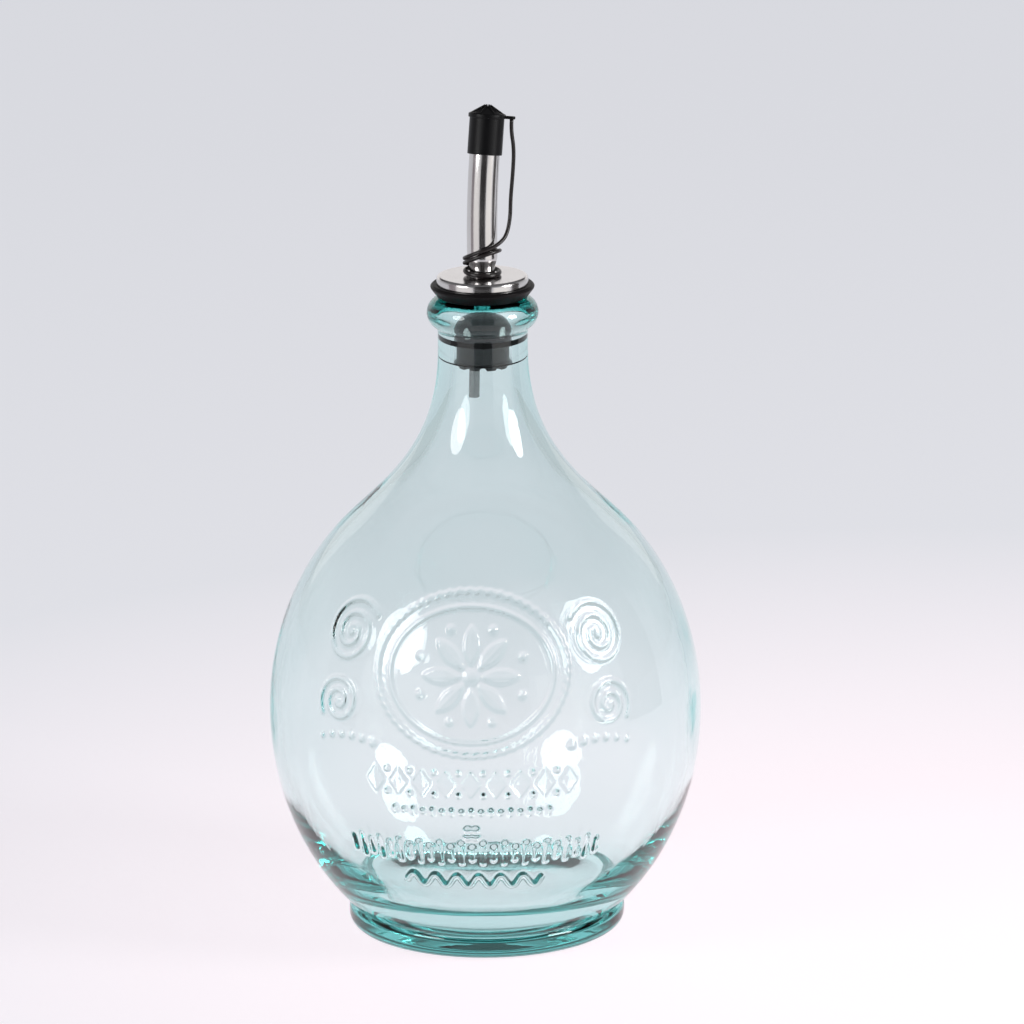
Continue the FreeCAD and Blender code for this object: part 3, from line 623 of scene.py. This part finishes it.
def polished_steel(name, lines_along_uv, shine=1.0):
    """Stainless steel with the faint lines that its polishing left, duller where shine is less."""
    material, shader, add = new_material(name)
    shader.inputs["Metallic"].default_value = 1.0
    place = add("ShaderNodeTexCoord")
    if lines_along_uv:
        drawn_out = [("Vector", place.outputs["UV"]), ("Scale", (95.0, 2.6, 1.0))]
        drawn_out = add("ShaderNodeMapping", drawn_out).outputs["Vector"]
        settings = [("Vector", drawn_out), ("Scale", 1.0), ("Detail", 6.0)]
        lines = add("ShaderNodeTexNoise", settings).outputs["Fac"]
    else:
        flat = [("Vector", place.outputs["Object"]), ("Scale", (1.0, 1.0, 0.0))]
        flat = add("ShaderNodeMapping", flat).outputs["Vector"]
        radius = add("ShaderNodeVectorMath", [(0, flat)], operation="LENGTH").outputs["Value"]
        settings = [("W", radius), ("Scale", 2600.0), ("Detail", 5.0)]
        lines = add("ShaderNodeTexNoise", settings, noise_dimensions="1D").outputs["Fac"]
    smear = mottle(add, 120.0, 3.0)
    worn = add("ShaderNodeMath", [(0, lines), (1, smear)], operation="MULTIPLY")
    vary_gloss(shader, add, worn.outputs["Value"], 0.1, 0.24, 0.5)
    roughen(shader, add, lines, 0.06, 0.0001)
    tone = add("ShaderNodeMix", [("Factor", smear)], data_type="RGBA")
    tone.inputs[6].default_value = (0.60 * shine, 0.585 * shine, 0.58 * shine, 1)
    tone.inputs[7].default_value = (0.70 * shine, 0.68 * shine, 0.67 * shine, 1)
    feed(shader, "Base Color", tone.outputs[2])
    return material


disc_steel = polished_steel("polished_steel", False)
disc_section = rounded(
    [
        (THROAT_RADIUS, DISC_UNDERSIDE, 0.05), (SKIRT_BORE, DISC_UNDERSIDE, 0.7),
        (SKIRT_BORE, SKIRT_END, 0.1), (DISC_RADIUS, SKIRT_END, 0.15),
        (DISC_RADIUS, DISC_TOP, 1.3), (THROAT_RADIUS, DISC_TOP, 0.05),
    ],
    8,
)
disc = turned("collar_disc_steel", disc_section, 144, disc_steel)
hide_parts("collar_disc")
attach(disc, "spout")

# ---- Spout ----------------------------------------------------------------------------------
# A drawn stainless tube, rolled in to a throat just over the disc and bent a little by hand
# tooling. It is polished along its length. Its stem goes through the stopper.
BEND_START = 235.02
BEND_RADIUS = 151.5
BEND_ANGLE = math.radians(10.5)
LEAN_TO = Vector((math.cos(math.radians(66)), math.sin(math.radians(66)), 0))
BEND_LENGTH = BEND_RADIUS * BEND_ANGLE
TIP_LENGTH = 11.2
SPOUT_RADIUS = 5.05
SPOUT_BORE = 4.7
STEM_END = 194.62
STEM_RADIUS = 5.0
STEM_BORE = 4.65
STEM_BORE_TOP = 221.77
THROAT_BORE = 3.9
THROAT_LEVEL = 226.02
FLARE_LEVEL = 228.22


def along_spout(point, share=None):
    """A point beside an upright spout, carried to where the bend takes it."""
    run = point[2] - BEND_START
    if share is None:
        share = min(1.0, max(0.0, run / BEND_LENGTH))
        rest = run if run < 0 else max(0.0, run - BEND_LENGTH)
    else:
        rest = run
    centre = LEAN_TO * BEND_RADIUS + Vector((0, 0, BEND_START))
    turn = Matrix.Rotation(BEND_ANGLE * share, 3, Vector((0, 0, 1)).cross(LEAN_TO))
    return centre + turn @ (Vector((point[0], point[1], BEND_START + rest)) - centre)


spout_steel = polished_steel("brushed_steel", True)
mouth = BEND_START + BEND_LENGTH + TIP_LENGTH
bend_levels = [BEND_START + BEND_LENGTH * i / 24 for i in range(25)]
spout_section = rounded(
    [
        (STEM_BORE, STEM_END, 0.1), (STEM_RADIUS, STEM_END, 0.1),
        (STEM_RADIUS, HEAD_TOP, 0), (THROAT_RADIUS, DISC_UNDERSIDE, 0),
        (THROAT_RADIUS, THROAT_LEVEL, 0.9), (SPOUT_RADIUS, FLARE_LEVEL, 0.9),
        *[(SPOUT_RADIUS, z, 0) for z in bend_levels],
        (SPOUT_RADIUS, mouth, 0.14), (SPOUT_BORE, mouth, 0.14),
        *[(SPOUT_BORE, z, 0) for z in bend_levels[::-1]],
        (SPOUT_BORE, FLARE_LEVEL, 0.9), (THROAT_BORE, THROAT_LEVEL, 0.9),
        (THROAT_BORE, STEM_BORE_TOP, 0), (STEM_BORE, STEM_BORE_TOP, 0),
    ]
)
spout = turned("spout_steel", spout_section, 96, spout_steel, along_spout)
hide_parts("spout_tube")
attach(spout, "spout")

# ---- Air tube -------------------------------------------------------------------------------
# A thin steel tube that lets air down past the oil. It is soldered inside the spout, lies
# against the throat and comes out under the stopper, leaning a little outwards.
AIR_RADIUS = 1.75
AIR_BORE = 1.4
AIR_END = 181.62
AIR_OFFSET = 2.1
AIR_LEAN = 0.9
AIR_LEAN_LENGTH = 40.5
AIR_RECESS = 1.6


def beside_throat(point):
    """Carry a point of the air tube beside the spout's axis, and outwards below the disc."""
    lean = max(0.0, 1 - (point[2] - AIR_END) / AIR_LEAN_LENGTH)
    return along_spout((point[0] - AIR_OFFSET - AIR_LEAN * lean, point[1], point[2]))


air_top = mouth - AIR_RECESS
air_levels = [AIR_END + 3 * i for i in range(1, 16)]
air_levels += [BEND_START + BEND_LENGTH * i / 16 for i in range(17)]
air_section = rounded(
    [(AIR_BORE, AIR_END, 0.08), (AIR_RADIUS, AIR_END, 0.08)]
    + [(AIR_RADIUS, z, 0) for z in air_levels]
    + [(AIR_RADIUS, air_top, 0.08), (AIR_BORE, air_top, 0.08)]
    + [(AIR_BORE, z, 0) for z in air_levels[::-1]]
)
air_steel = polished_steel("drawn_steel", True, 0.42)
air_tube = turned("air_tube_steel", air_section, 40, air_steel, beside_throat)
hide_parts("vent_tube")
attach(air_tube, "spout")

# ---- Dust cap -------------------------------------------------------------------------------
# A soft black moulding pushed over the spout's tip: a plain sleeve, a rim that stands proud,
# a cone with eight ribs that meet at its point, and a lug at its side for the strap.
SLEEVE_END = 235.32
SLEEVE_RADIUS = 5.75
SLEEVE_BORE = 5.13
CAP_CEILING = 246.52
RIM_LEVEL = 247.42
RIM_TOP = 248.72
RIM_RADIUS = 6.2
CONE_TOP = 251.22
RIBS = 8
RIB_FOOT_WIDTH = 0.9
RIB_TOP_WIDTH = 0.72

cap_plastic, shader, add = new_material("satin_black_plastic")
shader.inputs["Base Color"].default_value = (0.003, 0.003, 0.0035, 1)
shader.inputs["Specular IOR Level"].default_value = 0.16
vary_gloss(shader, add, mottle(add, 300.0, 3.0), 0.3, 0.46)
roughen(shader, add, mottle(add, 3600.0, 2.0), 0.1, 0.0001)

cap_section = rounded(
    [
        (SLEEVE_BORE, CAP_CEILING, 0.3), (SLEEVE_BORE, SLEEVE_END, 0.12),
        (SLEEVE_RADIUS, SLEEVE_END, 0.2), (SLEEVE_RADIUS, RIM_LEVEL, 0.12),
        (RIM_RADIUS, RIM_LEVEL, 0.2), (RIM_RADIUS, RIM_TOP, 0.25),
        (0.9, CONE_TOP, 0.3), (0.25, CONE_TOP + 0.12, 0.1),
    ]
)
cap_section = [(0, CAP_CEILING)] + cap_section[:-2] + [(0, CONE_TOP + 0.15)]
cap = turned("dust_cap_plastic", cap_section, 96, cap_plastic)

# One rib, then all of them set round the cone.
rib_line = [(1.2, CONE_TOP - 1.2), (RIM_RADIUS - 0.2, RIM_TOP - 0.6)]
rib_line += [(RIM_RADIUS - 0.25, RIM_TOP + 0.16), (1.0, CONE_TOP + 0.6)]
rib_mesh = bmesh.new()
for side in (-1, 1):
    for (r, z), width in zip(rib_line, (RIB_FOOT_WIDTH,) * 2 + (RIB_TOP_WIDTH,) * 2):
        rib_mesh.verts.new((r * MM, side * width / 2 * MM, z * MM))
rib_mesh.verts.ensure_lookup_table()
v = rib_mesh.verts
rib_mesh.faces.new([v[0], v[1], v[2], v[3]])
rib_mesh.faces.new([v[7], v[6], v[5], v[4]])
for i in range(4):
    k = (i + 1) % 4
    rib_mesh.faces.new([v[k], v[i], v[i + 4], v[k + 4]])
bmesh.ops.recalc_face_normals(rib_mesh, faces=rib_mesh.faces)
rib_data = bpy.data.meshes.new("rib")
rib_mesh.to_mesh(rib_data)
rib_object = bpy.data.objects.new("rib", rib_data)
bpy.context.scene.collection.objects.link(rib_object)
ease = rib_object.modifiers.new("ease", "BEVEL")
ease.width = 0.16 * MM
ease.segments = 3

tree = bpy.data.node_groups.new("ribs_round_the_cone", "GeometryNodeTree")
tree.interface.new_socket("Geometry", in_out="INPUT", socket_type="NodeSocketGeometry")
count_input = tree.interface.new_socket(
    "Number of ribs", in_out="INPUT", socket_type="NodeSocketInt"
)
rib_input = tree.interface.new_socket("Rib", in_out="INPUT", socket_type="NodeSocketObject")
plastic_input = tree.interface.new_socket(
    "Plastic", in_out="INPUT", socket_type="NodeSocketMaterial"
)
tree.interface.new_socket("Geometry", in_out="OUTPUT", socket_type="NodeSocketGeometry")
add = node_maker(tree)
entry = add("NodeGroupInput")
count = entry.outputs["Number of ribs"]
spots = add("GeometryNodePoints", [("Count", count)])
index = add("GeometryNodeInputIndex")
half_on = add("ShaderNodeMath", [(0, index.outputs[0]), (1, 0.5)], operation="ADD")
share = add("ShaderNodeMath", [(0, half_on.outputs[0]), (1, count)], operation="DIVIDE")
angle = add("ShaderNodeMath", [(0, share.outputs[0]), (1, 2 * math.pi)], operation="MULTIPLY")
about = add("ShaderNodeCombineXYZ", [("Z", angle.outputs[0])])
source = add("GeometryNodeObjectInfo", [("Object", entry.outputs["Rib"])])
settings = [("Points", spots.outputs[0]), ("Instance", source.outputs["Geometry"])]
settings += [("Rotation", about.outputs[0])]
placed = add("GeometryNodeInstanceOnPoints", settings)
real = add("GeometryNodeRealizeInstances", [(0, placed.outputs[0])])
settings = [("Geometry", real.outputs[0]), ("Material", entry.outputs["Plastic"])]
coat = add("GeometryNodeSetMaterial", settings)
add("NodeGroupOutput", [(0, coat.outputs[0])])
host = bpy.data.objects.new("ribs", bpy.data.meshes.new("ribs"))
bpy.context.scene.collection.objects.link(host)
ribs_modifier = host.modifiers.new("ribs", "NODES")
ribs_modifier.node_group = tree
ribs_modifier[count_input.identifier] = RIBS
ribs_modifier[rib_input.identifier] = rib_object
ribs_modifier[plastic_input.identifier] = cap_plastic
depsgraph = bpy.context.evaluated_depsgraph_get()
rib_set = bpy.data.meshes.new_from_object(host.evaluated_get(depsgraph), depsgraph=depsgraph)

# The lug: a flat tab with a round end, standing out from the rim towards the strap.
LUG_REACH = 8.1
LUG_START = 5.4
LUG_ROUND = 1.2
LUG_TOP = 248.42
lug_mesh = bmesh.new()
outline = [(LUG_START, LUG_ROUND), (LUG_START, -LUG_ROUND)]
for i in range(13):
    a = math.radians(-90 + 15 * i)
    outline.append((LUG_REACH + LUG_ROUND * math.cos(a), LUG_ROUND * math.sin(a)))
for z in (RIM_LEVEL, LUG_TOP):
    ring = [lug_mesh.verts.new((x * MM, y * MM, z * MM)) for x, y in outline]
    lug_mesh.faces.new(ring if z == LUG_TOP else ring[::-1])
lug_mesh.verts.ensure_lookup_table()
for i in range(len(outline)):
    k = (i + 1) % len(outline)
    v = lug_mesh.verts
    lug_mesh.faces.new([v[i], v[k], v[k + len(outline)], v[i + len(outline)]])
bmesh.ops.recalc_face_normals(lug_mesh, faces=lug_mesh.faces)
sharp = [edge for edge in lug_mesh.edges if edge.calc_face_angle(0) > 0.6]
bmesh.ops.bevel(
    lug_mesh, geom=sharp, offset=0.22 * MM, segments=3, affect="EDGES", profile=0.5
)

whole_cap = bmesh.new()
whole_cap.from_mesh(cap.data)
whole_cap.from_mesh(rib_set)
lug_data = bpy.data.meshes.new("lug")
lug_mesh.to_mesh(lug_data)
whole_cap.from_mesh(lug_data)
for vert in whole_cap.verts:
    vert.co = along_spout(vert.co / MM, 1.0) * MM
whole_cap.to_mesh(cap.data)
cap.data.polygons.foreach_set("use_smooth", [True] * len(cap.data.polygons))
for helper in (rib_object, host):
    bpy.data.objects.remove(helper)
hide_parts("dust_cap")
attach(cap, "cap")

# ---- Strap ----------------------------------------------------------------------------------
# A round strap of soft black plastic, 1.3 mm thick and 104 mm long. It grows from the cap's
# lug, hangs down beside the spout, is wound round it and ends in a ring at the spout's foot.
STRAP_DIAMETER = 1.3
WRAP_RADIUS = 6.046
WRAP_RISE = 8.2
WRAP_TILT = 2.35
WRAP_PITCH = 1.6
WRAP_START = -60
WRAP_STEP = 30
RING_RADIUS = 5.65
RING_LEVEL = 223.92
RING_THICKNESS = 1.5
RING_TILT = 0.35
RING_HIGH_SIDE = 140
KNOB_TURN = 108


def wound(radius, degrees, height):
    """A place beside the spout's axis."""
    a = math.radians(degrees)
    return Vector((radius * math.cos(a), radius * math.sin(a), height))


# From the lug it falls clear of the spout. Then it winds round it, a little higher on one side.
hang = along_spout((LUG_REACH, 0, RIM_LEVEL), 1.0)
route = [hang, along_spout((LUG_REACH, 0, RIM_LEVEL - 3.4), 1.0)]
route += [Vector(p) for p in ((10.75, 3.3, 264.6), (10.3, 2.8, 256.4), (9.5, 2.2, 248.2))]
route += [Vector(p) for p in ((9.35, 1.1, 241.6), (8.1, -1.2, 236.3), (5.9, -3.7, 234.3))]
for i in range(18):
    degrees = WRAP_START - WRAP_STEP * i
    tilt = WRAP_TILT * math.cos(math.radians(degrees + 42))
    rise = WRAP_RISE + tilt + WRAP_PITCH * degrees / 360
    route.append(wound(WRAP_RADIUS, degrees, DISC_TOP + rise))
tilt = RING_TILT * math.cos(math.radians(KNOB_TURN - RING_HIGH_SIDE))
root = wound(RING_RADIUS, KNOB_TURN, RING_LEVEL + tilt)
route.append(root + (route[-1] - root).normalized() * 1.1)

spline_data = bpy.data.curves.new("strap_line", "CURVE")
spline_data.dimensions = "3D"
spline_data.resolution_u = 8
spline = spline_data.splines.new("NURBS")
spline.points.add(len(route) - 1)
for point, place_at in zip(spline.points, route):
    point.co = (*(place_at * MM), 1)
spline.order_u = 3
spline.use_endpoint_u = True
line_object = bpy.data.objects.new("strap_line", spline_data)
bpy.context.scene.collection.objects.link(line_object)
depsgraph = bpy.context.evaluated_depsgraph_get()
drawn = line_object.evaluated_get(depsgraph)
line_mesh = bpy.data.meshes.new_from_object(drawn, depsgraph=depsgraph)
strap_path = [v.co.copy() for v in line_mesh.vertices]
bpy.data.objects.remove(line_object)

strap_plastic, shader, add = new_material("soft_strap_plastic")
shader.inputs["Base Color"].default_value = (0.014, 0.011, 0.011, 1)
shader.inputs["Specular IOR Level"].default_value = 0.4
touch = mottle(add, 420.0, 3.0)
vary_gloss(shader, add, touch, 0.22, 0.4)
roughen(shader, add, touch, 0.2, 0.0002)


def close_tube(faces, first, sides, rows):
    """Faces between a tube's rings, from its first point on, and across both its ends."""
    for i in range(first, first + (rows - 1) * sides, sides):
        for j in range(sides):
            m = (j + 1) % sides
            faces.append((i + j, i + m, i + sides + m, i + sides + j))
    faces.append(tuple(first + j for j in range(sides - 1, -1, -1)))
    faces.append(tuple(first + (rows - 1) * sides + j for j in range(sides)))


strap_points, strap_faces = [], []
across_strap = (strap_path[1] - strap_path[0]).orthogonal().normalized()
STRAP_SIDES = 20
for i, point in enumerate(strap_path):
    heading = strap_path[min(i + 1, len(strap_path) - 1)] - strap_path[max(i - 1, 0)]
    heading.normalize()
    across_strap = (across_strap - heading * across_strap.dot(heading)).normalized()
    other = heading.cross(across_strap)
    for j in range(STRAP_SIDES):
        a = 2 * math.pi * j / STRAP_SIDES
        out = across_strap * math.cos(a) + other * math.sin(a)
        strap_points.append(point + out * STRAP_DIAMETER / 2 * MM)
close_tube(strap_faces, 0, STRAP_SIDES, len(strap_path))
strap = new_piece("cap_strap", strap_points, strap_faces, strap_plastic)
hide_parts("cap_tether")
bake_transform(strap)

# The ring and the knob that the strap grows from, moulded in one and loose in the throat.
RING_STEPS = 72
RING_SIDES = 20
KNOB_SIDES = 24
ring_points, ring_faces = [], []
tilt_axis = wound(1, RING_HIGH_SIDE - 90, 0)
tilt_over = Matrix.Rotation(math.asin(RING_TILT / RING_RADIUS), 3, tilt_axis)
for i in range(RING_STEPS):
    for j in range(RING_SIDES):
        b = 2 * math.pi * j / RING_SIDES
        out, up = RING_THICKNESS / 2 * math.cos(b), RING_THICKNESS / 2 * math.sin(b)
        p = tilt_over @ wound(RING_RADIUS + out, i * 360 / RING_STEPS, up)
        ring_points.append((p + Vector((0, 0, RING_LEVEL))) * MM)
        a, b = i * RING_SIDES, (i + 1) % RING_STEPS * RING_SIDES
        m = (j + 1) % RING_SIDES
        ring_faces.append((a + j, b + j, b + m, a + m))
knob_end = route[-1]
inward = (root - knob_end).normalized()
aside = inward.orthogonal().normalized()
over = inward.cross(aside)
knob_rings = [(-0.7, 0.7), (-0.68, 0.95), (-0.5, 1.12), (0.3, 1.15), (1.1, 1.15)]  # run, radius
knob_first = len(ring_points)
for run, radius in knob_rings:
    for j in range(KNOB_SIDES):
        a = 2 * math.pi * j / KNOB_SIDES
        p = knob_end + inward * run + (aside * math.cos(a) + over * math.sin(a)) * radius
        ring_points.append(p * MM)
close_tube(ring_faces, knob_first, KNOB_SIDES, len(knob_rings))
throat_ring = new_piece("strap_ring", ring_points, ring_faces, strap_plastic)
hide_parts("tether_ring")
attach(throat_ring, "spout")

# ---- Studio ---------------------------------------------------------------------------------
# A pale floor that glows, with a pool of light painted on it round the bottle, in a bright room
# with a darker ceiling, and an oval soft box on each side of the camera. Cards that only
# reflections see give the steel and the glass their bands.
CAMERA_RISE = math.radians(15.73)
CAMERA_DISTANCE = 3.0
CAMERA_ROLL = math.radians(-0.38)
AIM_RIGHT = 0.0093
AIM_UP = 0.0334
FLOOR_REACH = 9
FLOOR_LEVEL = -0.0003
LAMP_DISTANCE = 1.1
camera_data = bpy.data.cameras.new("camera")
camera_data.sensor_width = 36.0
camera_data.lens = 316.4
camera_data.clip_end = 50
camera = bpy.data.objects.new("camera", camera_data)
bpy.context.scene.collection.objects.link(camera)
bpy.context.scene.camera = camera
middle = Vector((0, 0, 0.107))
c, s = math.cos(CAMERA_RISE), math.sin(CAMERA_RISE)
camera.location = middle + CAMERA_DISTANCE * Vector((0, -c, s))
aim = middle + Vector((AIM_RIGHT, 0, 0)) + AIM_UP * Vector((0, s, c))
camera.rotation_mode = "QUATERNION"
look = (aim - camera.location).to_track_quat("-Z", "Y").to_matrix()
camera.rotation_quaternion = (look @ Matrix.Rotation(CAMERA_ROLL, 3, "Z")).to_quaternion()

floor_mesh = bpy.data.meshes.new("floor")
corners = [(-1, -1), (1, -1), (1, 1), (-1, 1)]
corners = [(FLOOR_REACH * x, FLOOR_REACH * y, FLOOR_LEVEL) for x, y in corners]
floor_mesh.from_pydata(corners, [], [(0, 1, 2, 3)])
glowing_floor, shader, add = new_material("floor_glow_painted_light")
shader.inputs["Base Color"].default_value = (0.25, 0.24, 0.245, 1)
shader.inputs["Roughness"].default_value = 0.9
shader.inputs["Specular IOR Level"].default_value = 0.1
# The floor glows. Its dim grey colour is outshone by an emission that is a painted pool of light:
# brightest and pinkish round the bottle, where it lights the glass from below, and fading to a
# cooler grey farther out.
shader.inputs["Emission Strength"].default_value = 1.0
place = add("ShaderNodeTexCoord")
bright_spot = [(0, place.outputs["Object"]), (1, (0.15, 0, 0))]
away = add("ShaderNodeVectorMath", bright_spot, operation="DISTANCE").outputs["Value"]
settings = [("Value", away), ("From Min", 0.1), ("From Max", 0.5)]
dimmed = add("ShaderNodeMapRange", settings).outputs["Result"]
glow = add("ShaderNodeMix", [("Factor", dimmed)], data_type="RGBA")
glow.inputs[6].default_value = (0.905, 0.81, 0.86, 1)
glow.inputs[7].default_value = (0.61, 0.62, 0.66, 1)
feed(shader, "Emission Color", glow.outputs[2])
floor_mesh.materials.append(glowing_floor)
floor = bpy.data.objects.new("floor", floor_mesh)
bpy.context.scene.collection.objects.link(floor)

world = bpy.data.worlds.new("room")
world.use_nodes = True
bpy.context.scene.world = world
room = world.node_tree.nodes["Background"]
room.inputs["Color"].default_value = (0.95, 0.96, 1.0, 1)
add = node_maker(world.node_tree)
heading = add("ShaderNodeTexCoord").outputs["Generated"]
rise = add("ShaderNodeSeparateXYZ", [("Vector", heading)]).outputs["Z"]
settings = [("Value", rise), ("From Min", 0.2), ("From Max", 0.6), ("To Min", 0.64)]
ceiling = add("ShaderNodeMapRange", [*settings, ("To Max", 0.18)])
feed(room, "Strength", ceiling.outputs["Result"])


def soft_box(name, turn, rise, width, height, power):
    """An oval soft box that faces the bottle, at angles to the camera's right and upwards."""
    data = bpy.data.lights.new(name, "AREA")
    data.shape = "ELLIPSE"
    data.size = width
    data.size_y = height
    data.energy = power
    lamp = bpy.data.objects.new(name, data)
    bpy.context.scene.collection.objects.link(lamp)
    a, b = math.radians(turn), math.radians(rise)
    away = Vector((math.sin(a) * math.cos(b), -math.cos(a) * math.cos(b), math.sin(b)))
    lamp.location = Vector((0, 0, 0.11)) + LAMP_DISTANCE * away
    lamp.rotation_mode = "QUATERNION"
    lamp.rotation_quaternion = away.to_track_quat("Z", "Y")


soft_box("right_soft_box", 67, 25, 0.40, 0.52, 7)
soft_box("left_soft_box", -53, 26, 0.52, 0.52, 4.8)


def card(name, start, end, low, high, distance, glow):
    """A curved upright card that only reflections see, between two angles and two heights."""
    points, faces = [], []
    steps = 12
    for i in range(steps + 1):
        a = math.radians(start + (end - start) * i / steps)
        for z in (low, high):
            points.append((distance * math.sin(a), -distance * math.cos(a), z))
    for i in range(steps):
        faces.append((2 * i, 2 * i + 1, 2 * i + 3, 2 * i + 2))
    mesh = bpy.data.meshes.new(name)
    mesh.from_pydata(points, [], faces)
    material, shader, add = new_material(name)
    shader.inputs["Base Color"].default_value = (0, 0, 0, 1)
    shader.inputs["Specular IOR Level"].default_value = 0.0
    shader.inputs["Roughness"].default_value = 1.0
    shader.inputs["Emission Color"].default_value = (*glow, 1)
    shader.inputs["Emission Strength"].default_value = 1.0
    mesh.materials.append(material)
    piece = bpy.data.objects.new(name, mesh)
    bpy.context.scene.collection.objects.link(piece)
    for ray in ("camera", "diffuse", "transmission", "volume_scatter", "shadow"):
        setattr(piece, "visible_" + ray, False)


card("dark_front", -22, 23, 0.0, 1.3, 0.66, (0.035, 0.033, 0.034))
card("left_low_panel", -68, -25, 0.0, 0.3, 0.7, (0.95, 0.93, 0.93))
card("right_low_panel", 27, 70, 0.0, 0.3, 0.7, (1.1, 1.08, 1.06))
card("left_grey", -92, -69, 0.0, 0.8, 0.7, (0.3, 0.27, 0.29))
card("right_dark", 77, 103, 0.0, 0.9, 0.68, (0.06, 0.055, 0.055))
card("back_panel", 140, 220, 0.2, 0.66, 1.2, (1.0, 0.98, 0.985))
card("back_dark", 140, 220, 0.66, 1.1, 1.2, (0.08, 0.075, 0.08))

scene = bpy.context.scene
scene.view_settings.view_transform = "Standard"
scene.cycles.max_bounces = 32
scene.cycles.transmission_bounces = 28
scene.cycles.glossy_bounces = 28
scene.cycles.sample_clamp_indirect = 8
